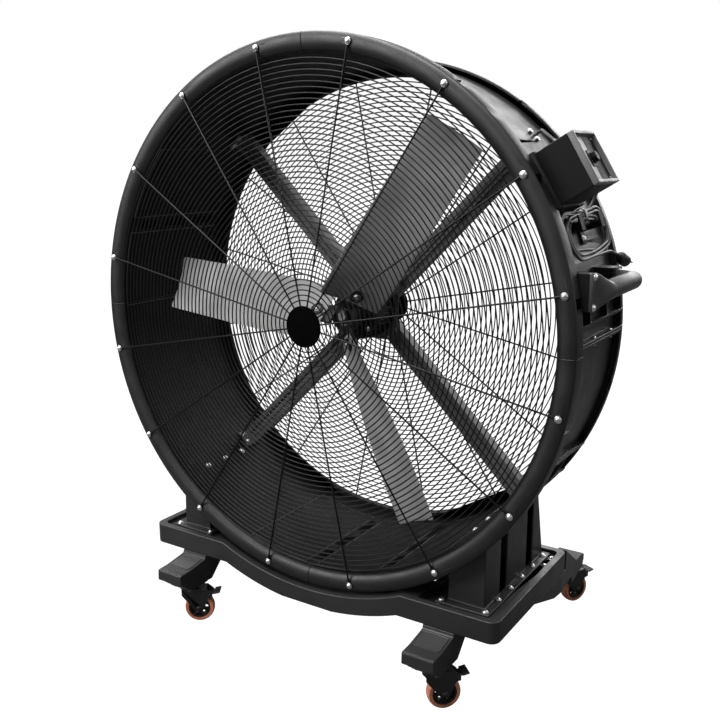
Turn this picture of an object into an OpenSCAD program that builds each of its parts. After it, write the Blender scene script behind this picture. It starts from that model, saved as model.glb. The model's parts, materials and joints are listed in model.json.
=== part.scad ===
// Large drum fan on a wheeled base. X is to the right, Y runs from the outlet to the back, Z is up.
// The floor is at z = 0 and the drum's axis runs along Y.

/* [Drum] */
// Radius of the circle of guard bolts on the front ring
bolt_circle_r = 800; // [700:5:900]
// Depth of the drum from the front ring's crest to its back face
drum_depth = 500; // [440:5:600]
// Thickness of the moulded drum wall
drum_wall = 8; // [6:0.5:10]
// How far the front ring reaches outside the bolt circle
ring_outset = 21; // [17:1:26]
// How far the front ring's mouth curves in from the bolt circle
ring_inset = 36; // [30:1:44]
// How deep the mouth's inner edge lies behind the crest
mouth_depth = 23; // [18:1:30]
// Depth of the front ring's outer rim
rim_depth = 52; // [44:1:60]
// Step from the mouth's inner edge in to the barrel
barrel_step = 4; // [2:1:8]
// How far the back lip closes in on the barrel
throat_drop = 28; // [20:1:36]
// Height of the back flange above the barrel
back_flange_h = 20; // [16:1:24]

/* [Guards] */
// Number of guard spokes and bolts on each side
spoke_count = 16; // [12:4:20]
// Diameter of a spoke wire
spoke_d = 5; // [4:0.5:6]
// Diameter of a ring wire
wire_d = 3; // [2.5:0.1:3.5]
// Distance from one ring wire to the next
wire_pitch = 15.3; // [14:0.1:20]
// Radius of the disc in the middle of each guard
disc_r = 62; // [50:1:75]

/* [Fan] */
// Gap between the blade tips and the barrel
tip_gap = 84; // [70:1:100]
// Width of a blade at its root
blade_chord = 204; // [190:1:216]
// Width of a blade at its tip
tip_chord = 180; // [160:1:204]
// Pitch of a blade at its tip, in degrees
tip_pitch = 20; // [16:1:26]
// Pitch of a blade at its root, in degrees
root_pitch = 48; // [42:1:50]
// Distance of the blades' mid-plane behind the crest
blade_y = 184; // [178:1:196]

/* [Motor and frame] */
// Radius of the motor housing under its fins
motor_r = 80; // [72:1:86]
// Length of the motor housing
motor_l = 88; // [80:1:92]
// Radius of the motor shaft
shaft_r = 14; // [11:0.5:16]
// Width of a frame arm
arm_w = 60; // [52:1:70]
// Depth of a frame arm
arm_d = 38; // [32:1:44]
// Sheet thickness of a frame arm
arm_t = 3; // [2.5:0.5:4]
// Distance of the arms' front face behind the crest
arm_y = 382; // [380:1:390]

/* [Base] */
// Width of the base tray
tray_w = 1292; // [1260:2:1340]
// Depth of the base tray
tray_d = 558; // [540:2:580]
// Height of the tray's wall
tray_h = 67; // [60:1:75]
// How far the drum dips below the tray's rim
drum_sink = 60; // [50:1:66]
// Gap between the drum and the dipped cross beams
saddle_gap = 12; // [8:1:16]
// Height of a leg under the tray
leg_h = 94; // [84:1:104]
// Width of a front leg
front_leg_w = 102; // [94:1:112]
// Length of a front leg
front_leg_l = 288; // [270:2:300]
// Width of a back leg
back_leg_w = 116; // [104:1:124]
// Length of a back leg
back_leg_l = 541; // [520:1:560]
// Distance between the front legs' centres
front_leg_span = 934; // [900:2:960]

/* [Casters] */
// Height of a caster from the floor to the leg
caster_h = 140; // [136:1:150]
// Radius of a caster wheel
wheel_r = 50; // [46:0.5:52]
// Width of a caster wheel
wheel_w = 32; // [28:1:36]
// Distance from the swivel axis to the wheel's axle
trail = 34; // [30:1:38]

/* [Control box and cord] */
// Length of the control box along the drum
box_l = 160; // [140:2:180]
// Height of the control box around the drum
box_w = 145; // [130:1:160]
// Depth of the control box away from the drum
box_d = 108; // [96:1:120]
// Diameter of the mains cord
cord_d = 8; // [8:0.5:9]

/* [Handles] */
// Diameter of a handle bar
handle_d = 50; // [44:1:52]
// Height of the handles above the drum's axis
handle_rise = 160; // [150:1:170]

/* [Hidden] */

// Colours
black = [0.05, 0.05, 0.055];
graphite = [0.16, 0.16, 0.17];
alloy = [0.12, 0.12, 0.125];
zinc = [0.8, 0.8, 0.8];
orange = [0.95, 0.4, 0.2];
pale = [0.6, 0.6, 0.6];

// Shared clearances and the overrun of every cut
over = 1;
seat_gap = 0.3;
fit_gap = 0.05;
hole_gap = 0.4;
round_fn = 96;
small_fn = 32;

// Drum sizes that follow from the driving ones
mouth_r = bolt_circle_r - ring_inset;
barrel_r = mouth_r - barrel_step;
barrel_out_r = barrel_r + drum_wall;
ring_outer_r = bolt_circle_r + ring_outset;
shoulder_back = 7;
back_outer_r = barrel_out_r + back_flange_h;
back_lip_r = barrel_r - throat_drop;
back_floor = 12;
back_rim = 24;
throat_l = 54;
throat_lip = 6;
back_edge = 4;
barrel_front_rise = 29;
barrel_front = mouth_depth + drum_wall + barrel_front_rise;
seam_gap = 0.4;

// Heights
tray_bottom_z = caster_h + leg_h;
tray_top_z = tray_bottom_z + tray_h;
axis_z = tray_top_z - drum_sink + ring_outer_r;

// The base's middle is at y = 0, and the drum's crest stands in front of it by this much
crest_ahead = 364;
front_y = -crest_ahead;

// Bolt sizes: radius of shank, of domed head and its height, and size of nut
bolt_r = 5;
dome_r = 10;
dome_h = 7;
nut_r = 9;
nut_h = 7;

// Places a child with X radial, Y clockwise around the drum and Z to the back, at an angle above +X
module at_angle(theta)
    translate([0, front_y, axis_z]) rotate([-90, 0, 0]) rotate([0, 0, -theta]) children();

// Domed cap, its flat side on z = 0 and its dome towards +Z
module dome(r, h)
    rotate_extrude($fn = small_fn)
        polygon(concat([[0, 0]], [for (a = [0:15:90]) [r * cos(a), h * sin(a)]]));

// Bolt with a domed head under z = 0 and a nut beyond its grip
module dome_bolt(grip) {
    rotate([180, 0, 0]) dome(dome_r, dome_h);
    translate([0, 0, -over]) cylinder(r = bolt_r, h = grip + nut_h + over, $fn = small_fn);
    translate([0, 0, grip]) cylinder(r = nut_r, h = nut_h, $fn = 6);
}

// Screw with a domed head under z = 0 and a plain shank
module dome_screw(l) {
    rotate([180, 0, 0]) dome(dome_r, dome_h);
    translate([0, 0, -over]) cylinder(r = bolt_r, h = l + over, $fn = small_fn);
}

module bolt_hole(l) cylinder(r = bolt_r + hole_gap, h = l, $fn = small_fn);

// Smaller screw and its hole, for where there is little room
small_r = 4;
small_head_r = 7.5;
small_head_h = 5;
module small_screw(l) {
    rotate([180, 0, 0]) dome(small_head_r, small_head_h);
    translate([0, 0, -over]) cylinder(r = small_r, h = l + over, $fn = small_fn);
}
module small_hole(l) cylinder(r = small_r + hole_gap, h = l, $fn = small_fn);
small_nut_h = 5;
module small_bolt(grip) {
    small_screw(grip + small_nut_h + over);
    translate([0, 0, grip]) cylinder(r = small_head_r, h = small_nut_h, $fn = 6);
}

// Drum quarters. Ledges at the quarter's two ends are bolted to the next quarter's.
ledge_h = 22;
ledge_front = 40;
ledge_bolt_in = 11;
ledge_bolt_shares = [0.24, 0.52, 0.8];
rib_h = 22;
rib_y_shares = [0.4, 0.68];
rib_up_from = 78;
rib_up_to = 86;
rib_low_from = 28;
rib_low_to = 36;
notch_w = 26;
notch_front = 14;
back_bolt_in = 10;
back_bolt_r = barrel_out_r - back_bolt_in;
back_screw_l = 16;
seam_deg = asin(seam_gap / 2 / barrel_out_r);
spoke_step = 360 / spoke_count;

drum_section = concat(
    [for (a = [0:15:90]) [mouth_r + ring_inset * (1 - cos(a)), mouth_depth * (1 - sin(a))]],
    [for (a = [15:15:90]) [bolt_circle_r + ring_outset * sin(a), shoulder_back * (1 - cos(a))]],
    [[ring_outer_r, rim_depth], [ring_outer_r - drum_wall, rim_depth]],
    [for (a = [90:-30:0])
        [bolt_circle_r + (ring_outset - drum_wall) * sin(a), drum_wall + shoulder_back * (1 - cos(a))]],
    [for (a = [75:-15:0])
        [mouth_r + drum_wall + (ring_inset - drum_wall) * (1 - cos(a)), drum_wall + mouth_depth * (1 - sin(a))]],
    [[barrel_out_r, barrel_front], [barrel_out_r, drum_depth - back_floor],
     [back_outer_r - drum_wall, drum_depth - back_floor], [back_outer_r - drum_wall, drum_depth - back_rim],
     [back_outer_r, drum_depth - back_rim], [back_outer_r, drum_depth - back_edge],
     [back_outer_r - back_edge, drum_depth], [back_lip_r, drum_depth]],
    [for (a = [90:-15:0])
        [barrel_r - throat_drop * (1 - cos(a)), drum_depth - throat_lip - throat_l * (1 - sin(a))]],
    [[barrel_r, barrel_front]]
);

// One quarter in the frame of at_angle, from angle 0 to 90 clockwise; ribs run between two angles
module quarter(rib_from, rib_to) {
    difference() {
        union() {
            rotate([0, 0, seam_deg]) rotate_extrude(angle = 90 - 2 * seam_deg, $fn = 4 * round_fn)
                polygon(drum_section);
            for (y = rib_y_shares)
                rotate([0, 0, rib_from])
                    translate([0, 0, y * drum_depth]) rotate_extrude(angle = rib_to - rib_from, $fn = 4 * round_fn)
                        translate([barrel_out_r - over, 0]) square([rib_h + over, drum_wall]);
            translate([barrel_out_r - over, seam_gap / 2, ledge_front])
                cube([ledge_h + over, drum_wall, drum_depth - back_floor - ledge_front + over]);
            rotate([0, 0, 90]) translate([barrel_out_r - over, -seam_gap / 2 - drum_wall, ledge_front])
                cube([ledge_h + over, drum_wall, drum_depth - back_floor - ledge_front + over]);
            for (a = [rib_from, rib_to])
                rotate([0, 0, a]) translate([barrel_out_r - over, -drum_wall / 2, ledge_front])
                    cube([rib_h + over, drum_wall, drum_depth - back_floor - ledge_front + over]);
        }
        for (a = [spoke_step / 2:spoke_step:90]) {
            rotate([0, 0, a]) translate([bolt_circle_r, 0, -over]) bolt_hole(drum_wall + shoulder_back);
            rotate([0, 0, a]) translate([back_bolt_r, 0, drum_depth - back_screw_l - over])
                bolt_hole(back_screw_l + 2 * over);
            rotate([0, 0, a]) translate([ring_outer_r - drum_wall - over, notch_w / 2, notch_front])
                cube([drum_wall + 2 * over, notch_w, rim_depth]);
            rotate([0, 0, a]) translate([back_outer_r - drum_wall, notch_w / 2, drum_depth - back_rim - over])
                cube([drum_wall + over, notch_w, back_rim - back_floor + over]);
        }
        for (y = ledge_bolt_shares, side = [0, 1])
            rotate([0, 0, 90 * side]) translate([barrel_out_r + ledge_bolt_in, 0, y * drum_depth])
                rotate([90, 0, 0]) translate([0, 0, -ledge_h / 2]) small_hole(ledge_h);
    }
}

// Frame: four channel arms, each with a foot on the barrel, and a plate in the middle
frame_angles = [45, 135, 225, 315];
plate_w = 196;
plate_t = 6;
plate_corner = 20;
foot_t = 6;
foot_ahead = 44;
foot_bolt_in = 14;
foot_r = sqrt(pow(barrel_r, 2) - pow(arm_w / 2, 2)) - seat_gap;
arm_inner_r = 52;
groove_w = 14;
groove_d = 4;
arm_bolt_rs = [74, 106];
arm_bolt_share = 0.32;
cable_ahead = 16;
cable_y = arm_y - cable_ahead;
cable_r = 5;
motor_bolt_r = 62;

// Channel section of an arm: x across, y to the back, with a shallow groove along its front
arm_section = [
    [-arm_w / 2, arm_d], [-arm_w / 2, 0], [-groove_w / 2 - groove_d, 0], [-groove_w / 2, groove_d],
    [groove_w / 2, groove_d], [groove_w / 2 + groove_d, 0], [arm_w / 2, 0], [arm_w / 2, arm_d],
    [arm_w / 2 - arm_t, arm_d], [arm_w / 2 - arm_t, arm_t], [groove_w / 2 + groove_d, arm_t],
    [groove_w / 2, arm_t + groove_d], [-groove_w / 2, arm_t + groove_d], [-groove_w / 2 - groove_d, arm_t],
    [-arm_w / 2 + arm_t, arm_t], [-arm_w / 2 + arm_t, arm_d]
];

// Holes for the bolts that join a piece of the drum's inside to the barrel
module arm_foot_places()
    for (side = [-1, 1])
        translate([0, side * arm_w / 4, arm_y - foot_ahead + foot_bolt_in]) rotate([0, 90, 0]) children();

module arm() {
    difference() {
        union() {
            translate([arm_inner_r, 0, arm_y]) rotate([90, 0, 90])
                linear_extrude(foot_r - arm_inner_r) polygon(arm_section);
            translate([foot_r - foot_t, -arm_w / 2, arm_y - foot_ahead])
                cube([foot_t, arm_w, foot_ahead + arm_d]);
        }
        translate([foot_r - foot_t - over, 0, 0]) arm_foot_places() bolt_hole(foot_t + 2 * over);
        translate([foot_r - foot_t - over, 0, cable_y]) rotate([0, 90, 0])
            cylinder(r = cable_r + hole_gap, h = foot_t + 2 * over, $fn = small_fn);
        for (r = arm_bolt_rs, side = [-1, 1])
            translate([r, side * arm_bolt_share * arm_w, arm_y - over]) small_hole(arm_t + 2 * over);
    }
}

module plate_places()
    for (a = frame_angles, r = arm_bolt_rs, side = [-1, 1])
        at_angle(a) translate([r, side * arm_bolt_share * arm_w, arm_y + arm_t])
            rotate([180, 0, 0]) children();

module motor_places()
    for (a = [0:90:270])
        at_angle(a) translate([motor_bolt_r, 0, arm_y - seat_gap]) rotate([180, 0, 0]) children();

// Motor, in the frame of at_angle
cover_t = 14;
motor_front = arm_y - plate_t - 2 * seat_gap - motor_l - cover_t;
motor_fin_h = 8;
motor_fin_w = 3;
motor_fin_count = 32;
stator_r = 52;
stator_in = 18;
bearing_r = 28;
bearing_w = 13;
running = 1;
core_r = stator_r - running;
boss_wall = 8;
boss_r = bearing_r + boss_wall;
pocket_d = 14;
cover_wall = 8;
cover_bolt_r = 66;
cover_bolt_l = 26;
motor_bolt_l = 24;
terminal_r = 150;
terminal_w = 60;
terminal_d = 34;
motor_back = motor_front + cover_t + motor_l;
shaft_back_in = 6;

// Blades: stations along the blade and a thin cambered section
blade_count = 3;
blade_angles = [175, 55, -65];
blade_root_r = 60;
blade_tip_r = barrel_r - tip_gap;
blade_t = 7;
blade_camber = 10;
blade_stations = 8;
blade_twist_power = 2;

// Hub: a boss on the shaft, behind the blades' mid-plane, with three arms that carry the blades
hub_r = 50;
hub_h = 44;
hub_behind = 26;
hub_arm_r = 125;
hub_arm_w = 66;
hub_arm_t = 10;
hub_bolt_at = 90;
hub_aside = 12;
blade_lift = 1;
blade_seat = blade_t / 2 + blade_camber / 2 + blade_lift;
blade_bolt_r = 8;
clamp_r = 21;
clamp_h = 5;
hub_nut_r = 22;
hub_nut_h = 12;

// Position on the blade's section at share c of the chord, from -1 to 1; side is 1 for front and -1 for back
function section_point(c, side) = [
    c * blade_chord / 2,
    blade_camber * (1 / 2 - c * c) - side * blade_t / 2 * sqrt(max(0, 1 - pow(abs(c), 4)))
];
section_chord_shares = [-1, -0.9, -0.6, -0.2, 0.2, 0.6, 0.9, 1];
blade_section = concat(
    [for (i = [0:7]) section_point(section_chord_shares[i], 1)],
    [for (i = [6:-1:1]) section_point(section_chord_shares[i], -1)]
);
section_n = len(blade_section);
function blade_pitch(u) = tip_pitch + (root_pitch - tip_pitch) * pow(1 - u, blade_twist_power);
function chord_share(u) = 1 + (tip_chord / blade_chord - 1) * u;
// A point of the blade in its own frame: x along the blade, y clockwise, z to the back
function blade_point(u, p) = [
    blade_root_r + u * (blade_tip_r - blade_root_r),
    p[0] * chord_share(u) * cos(blade_pitch(u)) - p[1] * sin(blade_pitch(u)),
    p[0] * chord_share(u) * sin(blade_pitch(u)) + p[1] * cos(blade_pitch(u))
];
module blade_shape() {
    points = [for (s = [0:blade_stations]) for (p = blade_section) blade_point(s / blade_stations, p)];
    sides = [for (s = [0:blade_stations - 1]) for (i = [0:section_n - 1])
        for (f = [[s * section_n + i, (s + 1) * section_n + (i + 1) % section_n, s * section_n + (i + 1) % section_n],
                  [s * section_n + i, (s + 1) * section_n + i, (s + 1) * section_n + (i + 1) % section_n]]) f];
    root_cap = [for (i = [1:section_n - 2]) [0, i, i + 1]];
    tip_first = blade_stations * section_n;
    tip_cap = [for (i = [1:section_n - 2]) [tip_first, tip_first + i + 1, tip_first + i]];
    polyhedron(points = points, faces = concat(sides, root_cap, tip_cap));
}

// Base tray: two dipped cross beams between two platforms
tray_ahead = 14;
tray_front = front_y - tray_ahead;
tray_wall = 8;
rim_w = 24;
floor_drop = 16;
floor_t = 8;
beam_d = 142;
beam_h = 57;
platform_in = 380;
platform_w = tray_w / 2 - platform_in;
tray_corner = 30;
dip_r = ring_outer_r + saddle_gap;
floor_z = tray_top_z - floor_drop;

module mirrored() {
    children();
    mirror([1, 0, 0]) children();
}

// Rectangle of the tray's plan with rounded corners, each side drawn in by inset
module tray_plan(inset)
    translate([-tray_w / 2 + inset, tray_front + inset]) {
        c = tray_corner - inset / 2;
        w = tray_w - 2 * inset;
        d = tray_d - 2 * inset;
        translate([c, 0]) square([w - 2 * c, d]);
        translate([0, c]) square([w, d - 2 * c]);
        for (x = [c, w - c], y = [c, d - c])
            translate([x, y]) circle(r = c, $fn = small_fn);
    }

// Elevation of a dipped beam, each side drawn in by inset
module beam_elevation(inset)
    difference() {
        union() {
            translate([-platform_in - over, tray_bottom_z + inset])
                square([2 * (platform_in + over), tray_h - 2 * inset]);
            intersection() {
                translate([0, axis_z]) circle(r = dip_r + beam_h - inset, $fn = 4 * round_fn);
                translate([-platform_in, tray_bottom_z - beam_h])
                    square([2 * platform_in, beam_h + inset + over]);
            }
        }
        translate([0, axis_z]) circle(r = dip_r + inset, $fn = 4 * round_fn);
    }

module beam(y)
    translate([0, y + beam_d, 0]) rotate([90, 0, 0]) linear_extrude(beam_d) beam_elevation(0);

// Bolt places on one platform, for the pedestal's flange
flange_bolt_x = 584;
flange_bolt_count = 6;
flange_bolt_pitch = 87;
flange_bolt_y = 46;
flange_inner_x = 444;
flange_w = 170;
flange_x = 430;
flange_t = 8;
flange_edge = 14;
flange_back = 20;
flange_l = flange_bolt_pitch * (flange_bolt_count - 1) + 2 * flange_edge;

module flange_places(z)
    for (i = [0:flange_bolt_count - 1], x = [flange_inner_x, flange_bolt_x])
        if (x == flange_bolt_x || i == 0 || i == flange_bolt_count - 1)
            translate([x, front_y + flange_bolt_y + i * flange_bolt_pitch, z]) children();

// Places of the bolts that hold a leg up against the tray
leg_bolt_inset = 26;
leg_bolt_rim = 11;
leg_bolt_in = rim_w + leg_bolt_rim;
leg_bolt_pitch = 62;
leg_bolt_back = 52;
leg_bolt_l = 30;
module front_leg_places(z)
    for (side = [-1, 1])
        translate([front_leg_span / 2 + side * (front_leg_w / 2 - leg_bolt_inset),
                   tray_front + leg_bolt_in, z]) children();
module back_leg_places(z)
    for (side = [0, 1])
        translate([tray_w / 2 - leg_bolt_in, tray_front + tray_d - leg_bolt_back - side * leg_bolt_pitch, z])
            children();

module base_tray() color(black)
    difference() {
        union() {
            difference() {
                translate([0, 0, tray_bottom_z]) linear_extrude(tray_h) tray_plan(0);
                translate([-platform_in, tray_front - over, tray_bottom_z - over])
                    cube([2 * platform_in, tray_d + 2 * over, tray_h + 2 * over]);
                intersection() {
                    translate([0, 0, floor_z]) linear_extrude(tray_h) tray_plan(rim_w);
                    mirrored() translate([platform_in + tray_wall, tray_front, floor_z])
                        cube([platform_w, tray_d, tray_h]);
                }
                intersection() {
                    translate([0, 0, tray_bottom_z - over])
                        linear_extrude(tray_h - floor_drop - floor_t + over) tray_plan(tray_wall);
                    mirrored() translate([platform_in + beam_h, tray_front + beam_d, tray_bottom_z - over])
                        cube([platform_w, tray_d - 2 * beam_d, tray_h]);
                }
            }
            beam(tray_front);
            beam(tray_front + tray_d - beam_d);
        }
        translate([0, tray_front + beam_d + over, 0]) rotate([90, 0, 0])
            linear_extrude(beam_d - tray_wall + over) beam_elevation(tray_wall);
        translate([0, tray_front + tray_d - tray_wall, 0]) rotate([90, 0, 0])
            linear_extrude(beam_d - tray_wall + over) beam_elevation(tray_wall);
        mirrored() flange_places(floor_z - leg_bolt_l) bolt_hole(leg_bolt_l + over);
        mirrored() front_leg_places(tray_bottom_z - over) bolt_hole(tray_h);
        mirrored() back_leg_places(tray_bottom_z - over) bolt_hole(tray_h);
    }

// Legs. Outlines are shares of the leg's length, from its free end, and of its height above the caster.
front_leg_ahead = 138;
front_leg_shares = [
    [0, 0.35], [0.004, 0.7], [0.02, 0.735], [0.16, 0.755], [0.4, 0.875], [0.424, 0.9], [0.43, 1], [1, 1],
    [0.69, 0.5], [0.53, 0], [0.15, 0], [0.05, 0.27]
];
back_leg_shares = [
    [0, 0.2], [0.03, 0], [0.3, 0], [0.33, 0.3], [0.58, 0.31], [0.68, 0.38], [1, 1], [0.4889, 1],
    [0.4889, 1.71], [0.2, 0.64], [0.03, 0.5], [0, 0.4]
];
back_leg_gap_share = 0.4889;
back_leg_chamfer = 28;
back_leg_chamfer_share = 0.56;
leg_front_y = front_y - front_leg_ahead;
back_leg_end = tray_front + tray_d + back_leg_gap_share * back_leg_l + seat_gap;
leg_top_z = tray_bottom_z - seat_gap;
leg_use_h = leg_h - seat_gap;

module front_leg() color(black)
    difference() {
        translate([front_leg_span / 2 - front_leg_w / 2, leg_front_y, caster_h]) rotate([90, 0, 90])
            linear_extrude(front_leg_w)
                polygon([for (p = front_leg_shares) [p[0] * front_leg_l, p[1] * leg_use_h]]);
        front_leg_places(leg_top_z - leg_bolt_l) bolt_hole(leg_bolt_l + over);
        plate_screw_places(0) bolt_hole(plate_screw_l + over);
    }

module back_leg() color(black)
    difference() {
        intersection() {
            translate([tray_w / 2, back_leg_end, caster_h]) rotate([90, 0, -90])
                linear_extrude(back_leg_w)
                    polygon([for (p = back_leg_shares) [p[0] * back_leg_l, p[1] * leg_use_h]]);
            translate([tray_w / 2, back_leg_end, caster_h - over])
                linear_extrude(leg_h + tray_h + 2 * over)
                    polygon([
                        [-back_leg_w, over], [-back_leg_chamfer, over], [-back_leg_chamfer, 0],
                        [0, -back_leg_chamfer_share * back_leg_l], [0, -back_leg_l - over],
                        [-back_leg_w - over, -back_leg_l - over], [-back_leg_w - over, over]
                    ]);
        }
        back_leg_places(leg_top_z - leg_bolt_l) bolt_hole(leg_bolt_l + over);
        plate_screw_places(1) bolt_hole(plate_screw_l + over);
    }

// Pedestals, open underneath, with a saddle that follows the barrel
pedestal_in = 458;
pedestal_out = 573;
pedestal_front = 60;
pedestal_l = 450;
pedestal_draft = 68;
pedestal_wall = 6;
pedestal_foot = 8;
pedestal_top_z = axis_z - sqrt(pow(barrel_out_r, 2) - pow(pedestal_out, 2));
groove_starts = [169, 368];
groove_l = 48;
groove_in = 26;
saddle_bolt_ys = [120, 210, 300];
saddle_angle = -atan(sqrt(pow(barrel_out_r, 2) - pow((pedestal_in + pedestal_out) / 2, 2))
    / ((pedestal_in + pedestal_out) / 2));

module pedestal_block(inset)
    intersection() {
        translate([pedestal_in + inset, front_y, floor_z + flange_t / 2])
            cube([pedestal_out - pedestal_in - 2 * inset, drum_depth + beam_d, axis_z]);
        translate([pedestal_in - over, front_y + pedestal_front, floor_z + seat_gap]) rotate([90, 0, 90])
            linear_extrude(pedestal_out - pedestal_in + 2 * over)
                polygon([
                    [inset, 0], [pedestal_l - inset, 0],
                    [pedestal_l - pedestal_draft - inset, pedestal_top_z - floor_z],
                    [pedestal_foot + inset, pedestal_top_z - floor_z]
                ]);
        translate([0, front_y, axis_z]) rotate([-90, 0, 0]) difference() {
            cylinder(r = axis_z, h = drum_depth + beam_d, $fn = round_fn);
            translate([0, 0, -over])
                cylinder(r = barrel_out_r + seat_gap + inset, h = drum_depth + beam_d + 2 * over, $fn = 4 * round_fn);
        }
    }

module pedestal_grooves(inset)
    for (y = groove_starts)
        translate([pedestal_out - groove_in - inset, front_y + y - inset, floor_z + seat_gap + flange_t])
            cube([groove_in + inset + over, groove_l + 2 * inset, axis_z - floor_z]);

module pedestal() color(black)
    difference() {
        union() {
            difference() {
                pedestal_block(0);
                pedestal_grooves(0);
            }
            translate([flange_x, front_y + flange_bolt_y - flange_edge, floor_z + seat_gap])
                cube([flange_w, flange_l + flange_back, flange_t]);
        }
        difference() {
            pedestal_block(pedestal_wall);
            pedestal_grooves(pedestal_wall);
        }
        translate([pedestal_in + pedestal_wall, front_y + pedestal_front + pedestal_foot + pedestal_wall,
                   floor_z - over])
            cube([pedestal_out - pedestal_in - groove_in - 3 * pedestal_wall,
                  pedestal_l - pedestal_draft - 2 * pedestal_wall, flange_t + 2 * over]);
        flange_places(floor_z - over) bolt_hole(flange_t + 2 * over);
        for (y = saddle_bolt_ys)
            at_angle(saddle_angle) translate([barrel_out_r - over, 0, y]) rotate([0, 90, 0])
                bolt_hole(pedestal_wall + seat_gap + 3 * over);
        at_angle(-frame_angles[0]) translate([barrel_out_r - over, 0, 0]) arm_foot_places()
            bolt_hole(pedestal_wall + seat_gap + 3 * over);
    }

// Bolts of the base: pedestal flanges, legs and caster plates
module base_bolts() color(zinc) {
    mirrored() flange_places(floor_z + seat_gap + flange_t) rotate([180, 0, 0])
        dome_screw(flange_t + seat_gap + floor_t + 2 * over);
    mirrored() front_leg_places(floor_z) rotate([180, 0, 0])
        dome_screw(leg_bolt_l + tray_h - floor_drop - 4 * over);
    mirrored() back_leg_places(floor_z) rotate([180, 0, 0])
        dome_screw(leg_bolt_l + tray_h - floor_drop - 4 * over);
    mirrored() for (k = [0, 1]) plate_screw_places(k) translate([0, 0, -caster_plate_t])
        dome_screw(plate_screw_l + caster_plate_t - over);
}

// Casters. Local frame: X along the trail, Z up from the floor, swivel axis at the origin.
caster_plate_w = 88;
caster_plate_t = 6;
plate_screw_l = 18;
plate_screw_in = 12;
caster_front_in = 93;
caster_back_in = 46;
caster_back_x = 575;
trail_angles = [45, 33, 62, 50];
caster_places = [
    [front_leg_span / 2, leg_front_y + caster_front_in],
    [-front_leg_span / 2, leg_front_y + caster_front_in],
    [caster_back_x, back_leg_end - caster_back_in],
    [-caster_back_x, back_leg_end - caster_back_in]
];
king_r = 9;
king_nut_r = 13;
king_nut_h = 7;
race_gap = 2;
head_r = 32;
head_h = 10;
fork_top_t = 6;
fork_t = 4;
fork_back_share = 0.3;
fork_top_share = 1.05;
fork_clear = 3;
fork_reach = trail + wheel_r - fork_t;
plate_bottom_z = caster_h - seat_gap - caster_plate_t;
head_top_z = plate_bottom_z - race_gap;
fork_top_z = head_top_z - head_h;
fork_leg_shares = [
    [-0.3, 1], [0.75, 1], [1, 0.86], [1, 0.74], [0.83, 0.72], [0.58, 0.33], [0.28, 0.33], [-0.3, 0.8]
];
fork_in = wheel_w / 2 + fork_clear;
axle_r = 5;
axle_head_r = 9;
axle_head_h = 5;
pivot_ahead = 36;
pivot_above = 47;
pivot_x = trail + pivot_ahead;
pivot_z = wheel_r + pivot_above;
pivot_r = 3;
pivot_head_r = 5;
pivot_head_h = 3;
pedal_barrel_r = 7;
pedal_side = 1;
pedal_w = 2 * (fork_in - pedal_side);
pedal_plate_w = pedal_w - 2 * pedal_side;
pedal_l = 36;
pedal_t = 5;
pedal_tilt = 12;
pedal_tread_w = 46;
pedal_tread_l = 20;
pedal_start = 4.5;
pedal_low = 0.4;
pedal_lip = 1.5;
pedal_shoe_x = -2.5;
pedal_shoe_w = 6;
pedal_shoe_l = 14;
pedal_drop = 8.5;
core_hub_r = 13;
core_web_t = 10;
core_rim_r = 31;
tyre_t = 13;
tyre_r = wheel_r - tyre_t;
tyre_round = 5;
core_holes = 6;
core_hole_r = 6;

module at_caster(k)
    translate([caster_places[k][0], caster_places[k][1], 0]) rotate([0, 0, trail_angles[k]]) children();

// Screws of the caster plates on a leg's underside; k is 0 for a front leg and 1 for a back one
module plate_screw_places(k)
    for (x = [-1, 1], y = [-1, 1])
        translate([caster_places[2 * k][0] + x * (caster_plate_w / 2 - plate_screw_in),
                   caster_places[2 * k][1] + y * (caster_plate_w / 2 - plate_screw_in), caster_h - seat_gap])
            children();

module caster_plates() color(graphite)
    mirrored() for (k = [0, 2])
        translate([caster_places[k][0], caster_places[k][1], 0]) {
            difference() {
                translate([-caster_plate_w / 2, -caster_plate_w / 2, plate_bottom_z])
                    cube([caster_plate_w, caster_plate_w, caster_plate_t]);
                for (x = [-1, 1], y = [-1, 1])
                    translate([x * (caster_plate_w / 2 - plate_screw_in),
                               y * (caster_plate_w / 2 - plate_screw_in), plate_bottom_z - over])
                        bolt_hole(caster_plate_t + 2 * over);
            }
            translate([0, 0, fork_top_z - fork_top_t - race_gap - king_nut_h])
                cylinder(r = king_r, h = plate_bottom_z - fork_top_z + fork_top_t + race_gap + king_nut_h + over,
                         $fn = small_fn);
            translate([0, 0, fork_top_z - fork_top_t - race_gap - king_nut_h])
                cylinder(r = king_nut_r, h = king_nut_h, $fn = 6);
        }

// Pin across the fork with a domed head at each side
module cross_pin(r, head, rise)
    rotate([90, 0, 0]) {
        half = fork_in + fork_t + seat_gap;
        translate([0, 0, -half]) cylinder(r = r, h = 2 * half, $fn = small_fn);
        for (side = [0, 1])
            rotate([180 * side, 0, 0]) translate([0, 0, half - over / 2]) dome(head, rise);
    }

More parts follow.
